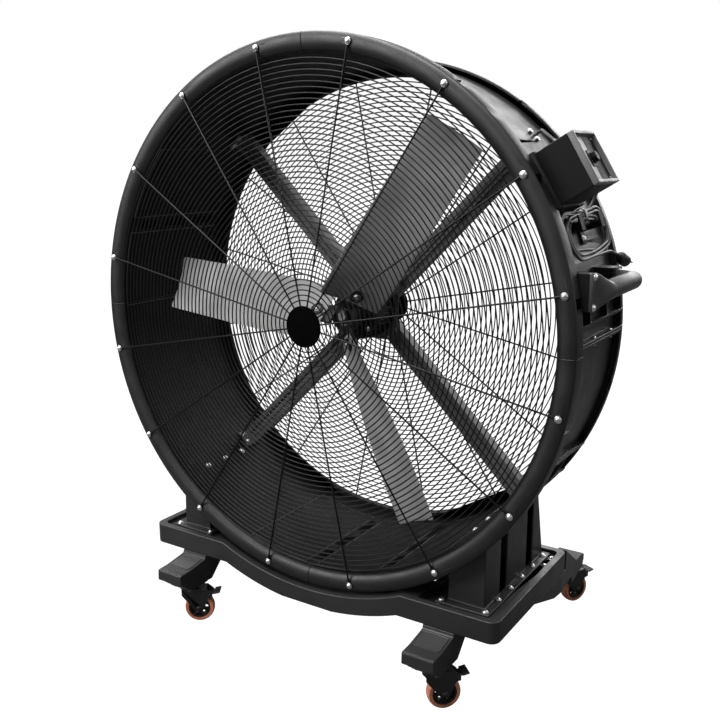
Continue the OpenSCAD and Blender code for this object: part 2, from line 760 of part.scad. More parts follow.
module caster_fork(k) at_caster(k) {
    color(black) difference() {
        union() {
            translate([0, 0, fork_top_z - over]) cylinder(r = head_r, h = head_h + over, $fn = small_fn);
            translate([-fork_back_share * fork_reach, -fork_in - fork_t, fork_top_z - fork_top_t])
                cube([fork_top_share * fork_reach, 2 * (fork_in + fork_t), fork_top_t]);
            for (side = [-1, 1])
                translate([0, side * (fork_in + fork_t / 2) + fork_t / 2, 0]) rotate([90, 0, 0])
                    linear_extrude(fork_t)
                        polygon([for (p = fork_leg_shares) [p[0] * fork_reach, p[1] * fork_top_z]]);
        }
        translate([0, 0, fork_top_z - fork_top_t - over])
            cylinder(r = king_r + fit_gap, h = fork_top_t + head_h + 2 * over, $fn = small_fn);
        for (p = [[trail, wheel_r, axle_r], [pivot_x, pivot_z, pivot_r]])
            translate([p[0], fork_in + fork_t + over, p[1]]) rotate([90, 0, 0])
                cylinder(r = p[2] + fit_gap, h = 2 * (fork_in + fork_t + over), $fn = small_fn);
    }
    color(zinc) {
        translate([trail, 0, wheel_r]) cross_pin(axle_r, axle_head_r, axle_head_h);
        translate([pivot_x, 0, pivot_z]) cross_pin(pivot_r, pivot_head_r, pivot_head_h);
    }
}

module on_axle(k) at_caster(k) translate([trail, 0, wheel_r]) rotate([90, 0, 0]) children();

module caster_wheel(k) color(black) on_axle(k)
    difference() {
        union() {
            translate([0, 0, -wheel_w / 2]) cylinder(r = core_hub_r, h = wheel_w, $fn = small_fn);
            translate([0, 0, -core_web_t / 2]) cylinder(r = tyre_r - over, h = core_web_t, $fn = round_fn);
            difference() {
                translate([0, 0, -wheel_w / 2 + over]) cylinder(r = tyre_r - fit_gap, h = wheel_w - 2 * over,
                                                                $fn = round_fn);
                translate([0, 0, -wheel_w / 2]) cylinder(r = core_rim_r, h = wheel_w, $fn = round_fn);
            }
        }
        translate([0, 0, -wheel_w / 2 - over])
            cylinder(r = axle_r + fit_gap, h = wheel_w + 2 * over, $fn = small_fn);
        for (a = [0:360 / core_holes:359])
            rotate([0, 0, a]) translate([(core_hub_r + core_rim_r) / 2, 0, -core_web_t])
                cylinder(r = core_hole_r, h = 2 * core_web_t, $fn = small_fn);
    }

module caster_tyre(k) color(orange) on_axle(k)
    rotate_extrude($fn = round_fn)
        polygon(concat(
            [[tyre_r, -wheel_w / 2], [wheel_r - tyre_round, -wheel_w / 2]],
            [for (a = [-60:30:60])
                [wheel_r - tyre_round + tyre_round * cos(a), sin(a) * wheel_w / 2 / sin(75)]],
            [[wheel_r - tyre_round, wheel_w / 2], [tyre_r, wheel_w / 2]]
        ));

module caster_pedal(k) color(black) at_caster(k) translate([pivot_x, 0, pivot_z])
    difference() {
        union() {
            translate([0, pedal_w / 2, 0]) rotate([90, 0, 0])
                cylinder(r = pedal_barrel_r, h = pedal_w, $fn = small_fn);
            rotate([0, -pedal_tilt, 0]) {
                translate([pedal_start, -pedal_plate_w / 2, pedal_low])
                    cube([pedal_l - pedal_start, pedal_plate_w, pedal_t]);
                translate([pedal_l - pedal_tread_l, -pedal_tread_w / 2, pedal_t / 2])
                    cube([pedal_tread_l + pedal_lip, pedal_tread_w, pedal_t]);
            }
            translate([pedal_shoe_x, -pedal_shoe_l / 2 - pedal_low, -pedal_drop])
                cube([pedal_shoe_w, pedal_shoe_l + 2 * pedal_low, pedal_drop - pivot_r - pedal_low]);
        }
        translate([0, pedal_w / 2 + over, 0]) rotate([90, 0, 0])
            cylinder(r = pivot_r + fit_gap, h = pedal_w + 2 * over, $fn = small_fn);
    }

// Control box on its bracket. Its mouth faces away from the drum.
box_angle = 31.5;
box_front = 56;
box_standoff = 60;
box_base_r = barrel_out_r + box_standoff;
box_wall = 4;
bezel_d = 16;
bezel_w = 9;
bezel_floor = 3;
knob_r = 15;
knob_h = 12;
knob_base = 46;
knob_base_t = 3;
knob_shaft_r = 3;
knob_shaft_l = 24;
pointer_w = 3;
bracket_t = 4;
cable_in_r = 26;
cable_in_y = -40;
bracket_out = 6;
bracket_back = 2;
bracket_foot = 24;
bracket_bolt_shares = [0.16, 0.84];
bracket_w = box_w / 2 + bracket_out;
bracket_foot_r = sqrt(pow(barrel_out_r, 2) - pow(bracket_w - bracket_t, 2)) + seat_gap;
bezel_r = box_base_r + box_d - bezel_d;

module control_box() color(black) at_angle(box_angle)
    difference() {
        translate([box_base_r, -box_w / 2, box_front]) cube([box_d - bezel_d - seat_gap, box_w, box_l]);
        translate([box_base_r + box_wall, -box_w / 2 + box_wall, box_front + box_wall])
            cube([box_d, box_w - 2 * box_wall, box_l - 2 * box_wall]);
        translate([box_base_r + cable_in_r, cable_in_y, box_front + box_l - 2 * box_wall])
            cylinder(r = cable_r + hole_gap, h = 3 * box_wall, $fn = small_fn);
    }

module control_panel() color(pale) at_angle(box_angle)
    difference() {
        union() {
            difference() {
                translate([bezel_r, -box_w / 2, box_front]) cube([bezel_d, box_w, box_l]);
                translate([bezel_r + bezel_floor, -box_w / 2 + bezel_w, box_front + bezel_w])
                    cube([bezel_d, box_w - 2 * bezel_w, box_l - 2 * bezel_w]);
            }
            translate([bezel_r, -knob_base / 2, box_front + box_l / 2 - knob_base / 2])
                cube([bezel_floor + knob_base_t, knob_base, knob_base]);
        }
        translate([bezel_r - over, 0, box_front + box_l / 2]) rotate([0, 90, 0])
            cylinder(r = knob_shaft_r + fit_gap, h = bezel_floor + knob_base_t + 2 * over, $fn = small_fn);
    }

module speed_knob() color(black) at_angle(box_angle)
    translate([bezel_r + bezel_floor + knob_base_t + seat_gap, 0, box_front + box_l / 2]) rotate([0, 90, 0]) {
        cylinder(r = knob_r, h = knob_h, $fn = small_fn);
        translate([0, 0, -knob_shaft_l]) cylinder(r = knob_shaft_r, h = knob_shaft_l + over, $fn = small_fn);
        translate([0, -pointer_w / 2, knob_h - over]) cube([knob_r, pointer_w, pointer_w]);
    }

module bracket_bolt_places()
    for (side = [-1, 1], z = bracket_bolt_shares)
        translate([bracket_foot_r + bracket_t, side * (bracket_w + bracket_foot / 2), box_front + z * box_l])
            rotate([0, -90, 0]) children();

module control_bracket() color(graphite) at_angle(box_angle)
    difference() {
        union() {
            translate([box_base_r - seat_gap - bracket_t, -bracket_w, box_front + bracket_back])
                cube([bracket_t, 2 * bracket_w, box_l + bracket_out - bracket_back]);
            for (side = [-1, 1]) {
                translate([bracket_foot_r, side * (bracket_w - bracket_t / 2) - bracket_t / 2,
                           box_front + bracket_back])
                    cube([box_base_r - seat_gap - bracket_foot_r, bracket_t,
                          box_l + bracket_out - bracket_back]);
                translate([bracket_foot_r, side * (bracket_w + bracket_foot / 2 - over) - bracket_foot / 2,
                           box_front + bracket_back])
                    cube([bracket_t, bracket_foot, box_l + bracket_out - bracket_back]);
            }
        }
        bracket_bolt_places() translate([0, 0, -over]) bolt_hole(bracket_t + 2 * over);
    }

// Handles: a bar along the drum, flared at the front and turned in to the drum at the back
handle_out = 27;
handle_x = ring_outer_r + handle_out;
handle_z = axis_z + handle_rise;
handle_front = 130;
handle_back = 350;
foot_out = 3;
foot_x = ring_outer_r + foot_out;
foot_plate_t = 10;
front_foot_y = 56;
front_foot_l = 24;
front_foot_h = 96;
back_foot_out = 12;
back_foot_x = back_outer_r + back_foot_out;
back_foot_l = 56;
back_foot_h = 64;
handle_bolt_in = 10;
handle_screw_l = 30;
socket_gap = 1;
socket_r = dome_r + socket_gap;

module handle_screw_places() {
    for (side = [-1, 1]) {
        translate([foot_x + seat_gap + foot_plate_t, front_y + front_foot_y + front_foot_l / 2,
                   handle_z + side * (front_foot_h / 2 - handle_bolt_in)]) rotate([0, -90, 0]) children();
        translate([back_foot_x + seat_gap + foot_plate_t, front_y + handle_back,
                   handle_z + side * (back_foot_h / 2 - handle_bolt_in)]) rotate([0, -90, 0]) children();
    }
}

module handle() color(graphite)
    difference() {
        union() {
            hull() {
                translate([foot_x + seat_gap, front_y + front_foot_y, handle_z - front_foot_h / 2])
                    cube([foot_plate_t, front_foot_l, front_foot_h]);
                translate([handle_x, front_y + handle_front, handle_z]) rotate([-90, 0, 0])
                    cylinder(r = handle_d / 2 - over, h = over, $fn = small_fn);
            }
            translate([handle_x, front_y + handle_front, handle_z]) rotate([-90, 0, 0])
                cylinder(r = handle_d / 2, h = handle_back - handle_front, $fn = small_fn);
            translate([handle_x, front_y + handle_back, handle_z]) sphere(r = handle_d / 2, $fn = small_fn);
            translate([back_foot_x + seat_gap, front_y + handle_back, handle_z]) rotate([0, 90, 0])
                cylinder(r = handle_d / 2, h = handle_x - back_foot_x - seat_gap, $fn = small_fn);
            translate([back_foot_x + seat_gap, front_y + handle_back - back_foot_l / 2,
                       handle_z - back_foot_h / 2])
                cube([foot_plate_t, back_foot_l, back_foot_h]);
        }
        handle_screw_places() translate([0, 0, -over]) bolt_hole(handle_screw_l);
        handle_screw_places() rotate([180, 0, 0]) cylinder(r = socket_r, h = handle_x, $fn = small_fn);
    }

// Blocks of the drum quarter that carry a handle
module handle_blocks()
    difference() {
        union() {
            translate([barrel_r * cos(45), front_y + front_foot_y, handle_z - front_foot_h / 2])
                cube([foot_x - barrel_r * cos(45), front_foot_l, front_foot_h]);
            translate([barrel_r * cos(45), front_y + handle_back - back_foot_l / 2, handle_z - back_foot_h / 2])
                cube([back_foot_x - barrel_r * cos(45), back_foot_l, back_foot_h]);
        }
        translate([0, front_y - over, axis_z]) rotate([-90, 0, 0])
            cylinder(r = barrel_out_r - drum_wall / 2, h = drum_depth, $fn = 4 * round_fn);
        handle_screw_places() bolt_hole(handle_screw_l);
    }

// Cord hooks and cord. Local frame of the hank: X along the drum's depth, Y up round the drum, Z away from it.
hank_angle = 21;
hank_y = 216;
hook_x = 78;
hook_r = 12;
hook_base_l = 60;
hook_base_w = 32;
hook_base_t = 5;
hook_reach = 64;
hook_edge = 3;
hook_lip_t = 4;
hook_lip_l = 42;
hook_lip_w = 26;
hook_bolt_drop = 30;
hank_run = 200;
hank_in_r = 38;
hank_pitch = 10;
hank_low = 40;
hank_rings = 24;
hank_first = 1;
hank_loops = 4;
hank_extra = 15;
hank_last = hank_loops * hank_rings + hank_extra;
hank_turns_out = 2.3;
hank_mid = (hank_first + hank_last) / 2;
hank_climb = hank_rings / 4;
hook_y = hank_in_r - cord_d / 2 - seat_gap - hook_r;

module at_hank()
    at_angle(hank_angle) translate([barrel_out_r, 0, hank_y]) rotate([0, -90, 0])
        rotate([180, 0, 0]) children();

function hank_k(i) = hank_turns_out * abs(i - hank_mid) / (hank_mid - hank_first);
function hank_r(i) = hank_in_r + hank_pitch * hank_k(i);
function hank_z(i) = hank_low + hank_pitch
    * (i < hank_mid - hank_climb ? 0
     : i > hank_mid + hank_climb ? 1
     : (1 - cos(180 * (i - hank_mid + hank_climb) / (2 * hank_climb))) / 2);
// Four rings lie along each run and eight along each end
function hank_xy(j, r) =
    j < 4 ? [hank_run / 2 - j * hank_run / 4, r]
    : j < 12 ? [-hank_run / 2 + r * cos(90 + (j - 4) * 22.5), r * sin(90 + (j - 4) * 22.5)]
    : j < 16 ? [-hank_run / 2 + (j - 12) * hank_run / 4, -r]
    : [hank_run / 2 + r * cos(-90 + (j - 16) * 22.5), r * sin(-90 + (j - 16) * 22.5)];
function hank_point(i) = concat(hank_xy(i % hank_rings, hank_r(i)), [hank_z(i)]);
hank_points = [for (i = [hank_first:hank_last]) hank_point(i)];

// Routes of the free stretches in the hank's frame
lead_points = [
    [32, 125, 90], [44, 125, 90], [58, 125, 90], [73, 123, 88], [86, 116, 83], [95, 105, 75], [98, 93, 65],
    [95, 81, 55], [86, 70, 47], [73, 63, 42], [60, 61, 40], [50, 61, 40]
];
tail_points = [
    [50, -61, 50], [75, -61, 50.5], [100, -61, 52.5], [112, -62.6, 54.2], [123, -67.2, 56.2], [133, -73, 58]
];
lead_side = [0, 0.61, -0.79];
plug_turn = [1, -0.58, 0.12];

function unit(v) = v / norm(v);
function tangent(points, i) = unit(points[min(i + 1, len(points) - 1)] - points[max(i - 1, 0)]);
function end_tangent(points, i) = i == 0 ? unit(points[1] - points[0])
    : i == len(points) - 1 ? unit(points[i] - points[i - 1]) : tangent(points, i);

// Tube through points; side is a direction that the tube never follows
module tube(points, d, sides, side) {
    rings = [for (i = [0:len(points) - 1])
        let (t = end_tangent(points, i), n = unit(cross(t, side)), b = cross(t, n))
            [for (k = [0:sides - 1]) points[i] + d / 2 * (n * cos(360 * k / sides) + b * sin(360 * k / sides))]];
    last = (len(points) - 1) * sides;
    faces = concat(
        [for (i = [0:len(points) - 2], k = [0:sides - 1])
            for (f = [[i * sides + k, (i + 1) * sides + (k + 1) % sides, i * sides + (k + 1) % sides],
                      [i * sides + k, (i + 1) * sides + k, (i + 1) * sides + (k + 1) % sides]]) f],
        [for (k = [1:sides - 2]) [0, k, k + 1]],
        [for (k = [1:sides - 2]) [last, last + k + 1, last + k]]
    );
    polyhedron(points = [for (r = rings) for (p = r) p], faces = faces);
}

loop_gap = min([for (i = [0:len(hank_points) - 1]) for (j = [i + hank_rings / 2:1:len(hank_points) - 1])
    norm(hank_points[i] - hank_points[j])]) - cord_d;
echo(least_gap_between_loops = loop_gap);

module mains_hank() color(black) at_hank() tube(hank_points, cord_d, 6, [0, 0, 1]);
module mains_lead() color(black) at_hank() tube(lead_points, cord_d, 8, lead_side);
module mains_tail() color(black) at_hank() tube(tail_points, cord_d, 8, [0, 0, 1]);

// Turns Z into a direction
module along(d) rotate([0, acos(d[2] / norm(d)), atan2(d[1], d[0])]) children();

plug_neck_l = 22;
plug_neck_r = 9;
plug_r = 17;
plug_l = 34;
plug_pin_r = 2.4;
plug_pin_l = 19;
plug_pin_gap = 9.5;
module mains_plug() color(black) at_hank() translate(tail_points[len(tail_points) - 1]) along(plug_turn) {
    cylinder(r1 = cord_d / 2 + over, r2 = plug_neck_r, h = plug_neck_l, $fn = small_fn);
    translate([0, 0, plug_neck_l - over]) cylinder(r = plug_r, h = plug_l + over, $fn = small_fn);
    for (side = [-1, 1])
        translate([side * plug_pin_gap, 0, plug_neck_l + plug_l - over])
            cylinder(r = plug_pin_r, h = plug_pin_l + over, $fn = small_fn);
}

gland_l = 8;
gland_r = 13;
relief_r = 9;
relief_end_r = 5.5;
gland_start = box_front + box_l + seat_gap - hank_y;
relief_l = lead_points[0][0] - gland_start - gland_l;
module cord_gland() color(black) at_hank()
    translate([gland_start, lead_points[0][1], lead_points[0][2]]) rotate([0, 90, 0]) {
        cylinder(r = gland_r, h = gland_l, $fn = 6);
        translate([0, 0, gland_l - over])
            cylinder(r1 = relief_r, r2 = relief_end_r, h = relief_l + over, $fn = small_fn);
    }

module hook_bolt_places()
    for (x = [-hook_x, hook_x])
        translate([x, hook_y - hook_bolt_drop, hook_base_t + seat_gap]) rotate([180, 0, 0]) children();

module cord_hooks() color(graphite) at_hank()
    difference() {
        for (x = [-hook_x, hook_x])
            translate([x, hook_y, seat_gap]) {
                translate([-hook_base_w / 2, hook_r + hook_edge - hook_base_l, 0])
                    cube([hook_base_w, hook_base_l, hook_base_t]);
                cylinder(r = hook_r, h = hook_reach, $fn = small_fn);
                translate([-hook_lip_w / 2, -hook_r - hook_edge, hook_reach - over])
                    cube([hook_lip_w, hook_lip_l, hook_lip_t + over]);
            }
        hook_bolt_places() translate([0, 0, -over]) bolt_hole(hook_base_t + 2 * over);
    }

// Drum quarters with the holes and blocks that each of them carries
module quarter_holes(theta)
    at_angle(theta) translate([barrel_r - over, 0, 0]) arm_foot_places() bolt_hole(drum_wall + 2 * over);

module saddle_places(r)
    for (y = saddle_bolt_ys) at_angle(saddle_angle) translate([r, 0, y]) rotate([0, 90, 0]) children();

module upper_quarter(rib_from, rib_to)
    difference() {
        union() {
            at_angle(90) quarter(rib_from, rib_to);
            handle_blocks();
        }
        quarter_holes(frame_angles[0]);
    }

module lower_quarter(rib_from, rib_to)
    difference() {
        at_angle(0) quarter(rib_from, rib_to);
        quarter_holes(-frame_angles[0]);
        saddle_places(barrel_r - over) bolt_hole(drum_wall + 2 * over);
    }

module drum_quarter_upper_right() color(black)
    difference() {
        upper_quarter(rib_up_from, rib_up_to);
        at_angle(frame_angles[0]) translate([barrel_r - over, 0, cable_y]) rotate([0, 90, 0])
            cylinder(r = cable_r + hole_gap, h = drum_wall + 2 * over, $fn = small_fn);
        at_angle(box_angle) bracket_bolt_places() bolt_hole(bracket_screw_l + over);
        at_hank() hook_bolt_places() bolt_hole(hook_screw_l + over);
    }

module drum_quarter_upper_left() color(black) mirror([1, 0, 0]) upper_quarter(rib_up_from, rib_up_to);

// Bolts of the drum: seams, frame feet, saddles, handles, bracket and hooks
bracket_screw_l = 18;
hook_screw_l = 12;
foot_bolt_gap = 0.1;
module drum_bolts() color(zinc) {
    for (a = [0:90:270], y = ledge_bolt_shares)
        at_angle(a) translate([barrel_out_r + ledge_bolt_in, -drum_wall - seam_gap / 2, y * drum_depth])
            rotate([-90, 0, 0]) small_bolt(2 * drum_wall + seam_gap);
    mirrored() {
        at_angle(frame_angles[0]) translate([foot_r - foot_t, 0, 0]) arm_foot_places()
            dome_bolt(barrel_out_r - foot_r + foot_t + foot_bolt_gap);
        at_angle(-frame_angles[0]) translate([foot_r - foot_t, 0, 0]) arm_foot_places()
            dome_screw(barrel_out_r - foot_r + foot_t + pedestal_wall);
        saddle_places(barrel_r - foot_bolt_gap) dome_bolt(drum_wall + seat_gap + pedestal_wall + 2 * foot_bolt_gap);
        handle_screw_places() dome_screw(handle_screw_l - 2 * over);
    }
    at_angle(box_angle) bracket_bolt_places() dome_screw(bracket_screw_l);
    at_hank() hook_bolt_places() dome_screw(hook_screw_l);
}

// Guards. Spokes with an eye at each bolt are welded to a disc, and ring wires lie behind the spokes.
eye_r = 9;
eye_t = 3;
guard_bolt_clear = 6;
disc_t = 3;
spoke_in = 12;
weld_gap = 0.05;
guard_bolt_rise = 2.2;
guard_grip = eye_t + seat_gap + drum_wall + guard_bolt_rise;
ring_margin = 8;

module at_spokes() for (a = [spoke_step / 2:spoke_step:360]) at_angle(a) children();

// Frame of a guard whose bolts sit at radius r; z = 0 is the face of the drum and the guard lies under it
module guard_frame(r)
    difference() {
        union() {
            for (a = [spoke_step / 2:spoke_step:360])
                rotate([0, 0, a]) {
                    translate([disc_r - spoke_in, 0, -seat_gap - spoke_d / 2]) rotate([0, 90, 0])
                        cylinder(r = spoke_d / 2, h = r - dome_r - seat_gap - disc_r + spoke_in, $fn = small_fn);
                    translate([r, 0, -seat_gap - eye_t]) cylinder(r = eye_r, h = eye_t, $fn = small_fn);
                    translate([r - dome_r - spoke_d, -spoke_d / 2, -seat_gap - eye_t])
                        cube([spoke_d + dome_r - guard_bolt_clear, spoke_d, eye_t - over]);
                }
            translate([0, 0, -seat_gap - spoke_d - disc_t + over]) cylinder(r = disc_r, h = disc_t, $fn = round_fn);
        }
        for (a = [spoke_step / 2:spoke_step:360])
            rotate([0, 0, a]) translate([r, 0, -spoke_d - over]) bolt_hole(spoke_d + 2 * over);
    }

module guard_rings(r)
    for (i = [1:floor((r - ring_margin - disc_r) / wire_pitch)])
        translate([0, 0, -seat_gap + weld_gap + wire_d / 2])
            rotate_extrude($fn = 4 * round_fn)
                translate([disc_r + i * wire_pitch, 0]) rotate([0, 0, 90]) circle(d = wire_d, $fn = 6);

module at_back() at_angle(0) translate([0, 0, drum_depth]) rotate([180, 0, 0]) children();

module front_guard_frame() color(black) at_angle(0) guard_frame(bolt_circle_r);
module front_guard_rings() color(black) at_angle(0) guard_rings(mouth_r);
module rear_guard_frame() color(black) at_back() guard_frame(back_bolt_r);
module rear_guard_rings() color(black) at_back() guard_rings(back_lip_r);

module guard_bolts() color(zinc) {
    at_spokes() translate([bolt_circle_r, 0, -seat_gap - eye_t]) dome_bolt(guard_grip);
    at_spokes() translate([back_bolt_r, 0, drum_depth + seat_gap + eye_t]) rotate([180, 0, 0])
        dome_screw(eye_t + seat_gap + back_screw_l - 2 * over);
}

// Frame behind the fan
module frame_arms() color(alloy) for (a = frame_angles) at_angle(a) arm();

module frame_plate() color(alloy)
    difference() {
        at_angle(0) translate([0, 0, arm_y - plate_t - seat_gap]) linear_extrude(plate_t) {
            translate([-plate_w / 2 + plate_corner, -plate_w / 2]) square([plate_w - 2 * plate_corner, plate_w]);
            translate([-plate_w / 2, -plate_w / 2 + plate_corner]) square([plate_w, plate_w - 2 * plate_corner]);
            for (x = [-1, 1], y = [-1, 1])
                translate([x * (plate_w / 2 - plate_corner), y * (plate_w / 2 - plate_corner)])
                    circle(r = plate_corner, $fn = small_fn);
        }
        plate_places() small_hole(arm_t + seat_gap + plate_t + over);
        motor_places() translate([0, 0, -over]) bolt_hole(plate_t + 2 * over);
    }

module cover_places()
    for (a = frame_angles) at_angle(a) translate([cover_bolt_r, 0, motor_front]) children();

module frame_bolts() color(zinc) {
    plate_places() small_screw(arm_t + seat_gap + plate_t);
    motor_places() dome_screw(motor_bolt_l);
    cover_places() dome_screw(cover_bolt_l);
}

// Motor
motor_outline = [for (i = [0:motor_fin_count - 1]) for (p = [
    [motor_r * cos(180 / motor_fin_count), -motor_r * sin(180 / motor_fin_count)],
    [motor_r, -motor_fin_w / 2], [motor_r + motor_fin_h, -motor_fin_w / 2],
    [motor_r + motor_fin_h, motor_fin_w / 2], [motor_r, motor_fin_w / 2]
]) let (a = i * 360 / motor_fin_count) [p[0] * cos(a) - p[1] * sin(a), p[0] * sin(a) + p[1] * cos(a)]];

module motor_housing() color(graphite)
    difference() {
        union() {
            at_angle(0) translate([0, 0, motor_front + cover_t]) linear_extrude(motor_l) polygon(motor_outline);
            at_angle(frame_angles[0]) translate([stator_r + stator_in, -terminal_w / 2, motor_back - terminal_d - over])
                cube([terminal_r - stator_r - stator_in, terminal_w, terminal_d]);
        }
        at_angle(0) translate([0, 0, motor_front + cover_t - over])
            cylinder(r = stator_r, h = motor_l - stator_in + over, $fn = round_fn);
        at_angle(0) translate([0, 0, motor_back - stator_in - over])
            cylinder(r = bearing_r + fit_gap, h = pocket_d + over, $fn = round_fn);
        motor_places() bolt_hole(motor_bolt_l + over);
        cover_places() bolt_hole(cover_bolt_l + over);
        at_angle(frame_angles[0]) translate([terminal_r - over - cover_wall, 0, cable_y]) rotate([0, 90, 0])
            cylinder(r = cable_r + hole_gap, h = cover_wall + 2 * over, $fn = small_fn);
    }

module motor_cover() color(graphite)
    difference() {
        union() {
            at_angle(0) translate([0, 0, motor_front]) cylinder(r = motor_r, h = cover_t - seat_gap, $fn = round_fn);
            at_angle(0) translate([0, 0, motor_front])
                cylinder(r = boss_r, h = cover_wall + pocket_d, $fn = round_fn);
        }
        at_angle(0) translate([0, 0, motor_front - over])
            cylinder(r = shaft_r + hole_gap, h = cover_wall + 2 * over, $fn = small_fn);
        at_angle(0) translate([0, 0, motor_front + cover_wall])
            cylinder(r = bearing_r + fit_gap, h = pocket_d + over, $fn = round_fn);
        cover_places() translate([0, 0, -over]) bolt_hole(cover_t + 2 * over);
    }

module motor_bearings() color(zinc) at_angle(0)
    for (z = [motor_front + cover_wall + seat_gap, motor_back - stator_in + seat_gap])
        translate([0, 0, z]) difference() {
            cylinder(r = bearing_r, h = bearing_w, $fn = round_fn);
            translate([0, 0, -over]) cylinder(r = shaft_r + fit_gap, h = bearing_w + 2 * over, $fn = round_fn);
        }

shaft_tip = 3;
module motor_shaft() color(zinc) at_angle(0) {
    translate([0, 0, hub_y - hub_nut_h - shaft_tip])
        cylinder(r = shaft_r, h = motor_back - shaft_back_in - hub_y + hub_nut_h + shaft_tip, $fn = round_fn);
    translate([0, 0, motor_front + cover_wall + pocket_d + running])
        cylinder(r = core_r, h = motor_back - stator_in - motor_front - cover_wall - pocket_d - 2 * running,
                 $fn = round_fn);
}

// Cable from the motor along an arm, through the drum and forward into the control box
module motor_cable() color(black) at_angle(frame_angles[0]) {
    turn = frame_angles[0] - box_angle;
    in_x = box_base_r + cable_in_r;
    box_in = [in_x * cos(turn) - cable_in_y * sin(turn), in_x * sin(turn) + cable_in_y * cos(turn)];
    out_r = barrel_out_r + cable_rise;
    end_y = box_front + box_l - box_wall;
    tube([
        [terminal_r - cover_wall, 0, cable_y], [barrel_r, 0, cable_y], [out_r - cable_bend, 0, cable_y],
        [out_r - cable_bend / 3, cable_bend / 6, cable_y - cable_bend / 4],
        [out_r + cable_bend / 6, box_in[1] / 3, cable_y - cable_bend],
        [box_in[0] - cable_bend / 3, 0.8 * box_in[1], end_y + 3 * cable_bend],
        [box_in[0], box_in[1], end_y + 1.4 * cable_bend], [box_in[0], box_in[1], end_y]
    ], 2 * cable_r, 12, [0, 1, 0.02]);
}
cable_rise = 34;
cable_bend = 24;

// Hub and blades
hub_y = blade_y + hub_behind;
hub_pitch = blade_pitch((hub_bolt_at - blade_root_r) / (blade_tip_r - blade_root_r));
module at_blade(k) at_angle(blade_angles[k]) translate([0, 0, blade_y]) children();
module at_clamp(k) at_blade(k) rotate([hub_pitch, 0, 0]) translate([hub_bolt_at, hub_aside, 0]) children();
clamp_back = -1;
arm_root_r = 30;

module fan_hub() color(graphite)
    difference() {
        union() {
            at_angle(0) translate([0, 0, hub_y]) cylinder(r = hub_r, h = hub_h, $fn = round_fn);
            for (k = [0:blade_count - 1])
                at_blade(k) rotate([hub_pitch, 0, 0]) translate([arm_root_r, hub_aside - hub_arm_w / 2, blade_seat])
                    cube([hub_arm_r - arm_root_r, hub_arm_w, hub_arm_t]);
        }
        at_angle(0) translate([0, 0, hub_y - hub_h])
            cylinder(r = shaft_r + fit_gap, h = 3 * hub_h, $fn = round_fn);
        for (k = [0:blade_count - 1]) at_clamp(k)
            cylinder(r = blade_bolt_r + hole_gap, h = hub_arm_w, $fn = small_fn);
    }

module fan_blade(k) color(graphite)
    difference() {
        at_blade(k) blade_shape();
        at_clamp(k) translate([0, 0, -hub_arm_w / 2])
            cylinder(r = blade_bolt_r + hole_gap, h = hub_arm_w, $fn = small_fn);
    }

module blade_bolts() color(zinc) {
    for (k = [0:blade_count - 1]) at_clamp(k) {
        translate([0, 0, clamp_back - clamp_h]) cylinder(r = clamp_r, h = clamp_h, $fn = round_fn);
        translate([0, 0, clamp_back - clamp_h]) rotate([180, 0, 0]) dome(clamp_bolt_head, dome_h);
        translate([0, 0, clamp_back - over])
            cylinder(r = blade_bolt_r, h = blade_seat + hub_arm_t - clamp_back + 2 * over, $fn = small_fn);
        translate([0, 0, blade_seat + hub_arm_t]) cylinder(r = clamp_nut_r, h = dome_h, $fn = 6);
    }
    at_angle(0) translate([0, 0, hub_y - hub_nut_h - seat_gap]) difference() {
        cylinder(r = hub_nut_r, h = hub_nut_h, $fn = 6);
        translate([0, 0, -over]) cylinder(r = shaft_r + fit_gap, h = hub_nut_h + 2 * over, $fn = round_fn);
    }
}
clamp_bolt_head = 12;
clamp_nut_r = 13;

drum_quarter_upper_right();
drum_quarter_upper_left();
color(black) mirror([1, 0, 0]) lower_quarter(rib_low_from, rib_low_to);  // drum_quarter_lower_left
color(black) lower_quarter(rib_low_from, rib_low_to);  // drum_quarter_lower_right
drum_bolts();
front_guard_frame();
front_guard_rings();
rear_guard_frame();
rear_guard_rings();
guard_bolts();
frame_arms();
frame_plate();
frame_bolts();
motor_housing();
motor_cover();
motor_shaft();
motor_bearings();
motor_cable();
fan_hub();
fan_blade(0);  // fan_blade_1
fan_blade(1);  // fan_blade_2
fan_blade(2);  // fan_blade_3
blade_bolts();
base_tray();
front_leg();  // front_leg_right
mirror([1, 0, 0]) front_leg();  // front_leg_left
back_leg();  // back_leg_right
mirror([1, 0, 0]) back_leg();  // back_leg_left
pedestal();  // pedestal_right
mirror([1, 0, 0]) pedestal();  // pedestal_left
base_bolts();
caster_plates();
caster_fork(0);  // caster_fr_fork
caster_wheel(0);  // caster_fr_wheel
caster_tyre(0);  // caster_fr_tyre
caster_pedal(0);  // caster_fr_pedal
caster_fork(1);  // caster_fl_fork
caster_wheel(1);  // caster_fl_wheel
caster_tyre(1);  // caster_fl_tyre
caster_pedal(1);  // caster_fl_pedal
caster_fork(2);  // caster_br_fork
caster_wheel(2);  // caster_br_wheel
caster_tyre(2);  // caster_br_tyre
caster_pedal(2);  // caster_br_pedal
caster_fork(3);  // caster_bl_fork
caster_wheel(3);  // caster_bl_wheel
caster_tyre(3);  // caster_bl_tyre
caster_pedal(3);  // caster_bl_pedal
control_box();
control_panel();
speed_knob();
control_bracket();
handle();  // handle_right
mirror([1, 0, 0]) handle();  // handle_left
cord_hooks();
cord_gland();
mains_lead();
mains_hank();
mains_tail();
mains_plug();
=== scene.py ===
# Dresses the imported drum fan: camera, cord, light, materials and detailed pieces.
import json
import math

import bmesh
import bpy
from mathutils import Matrix, Vector


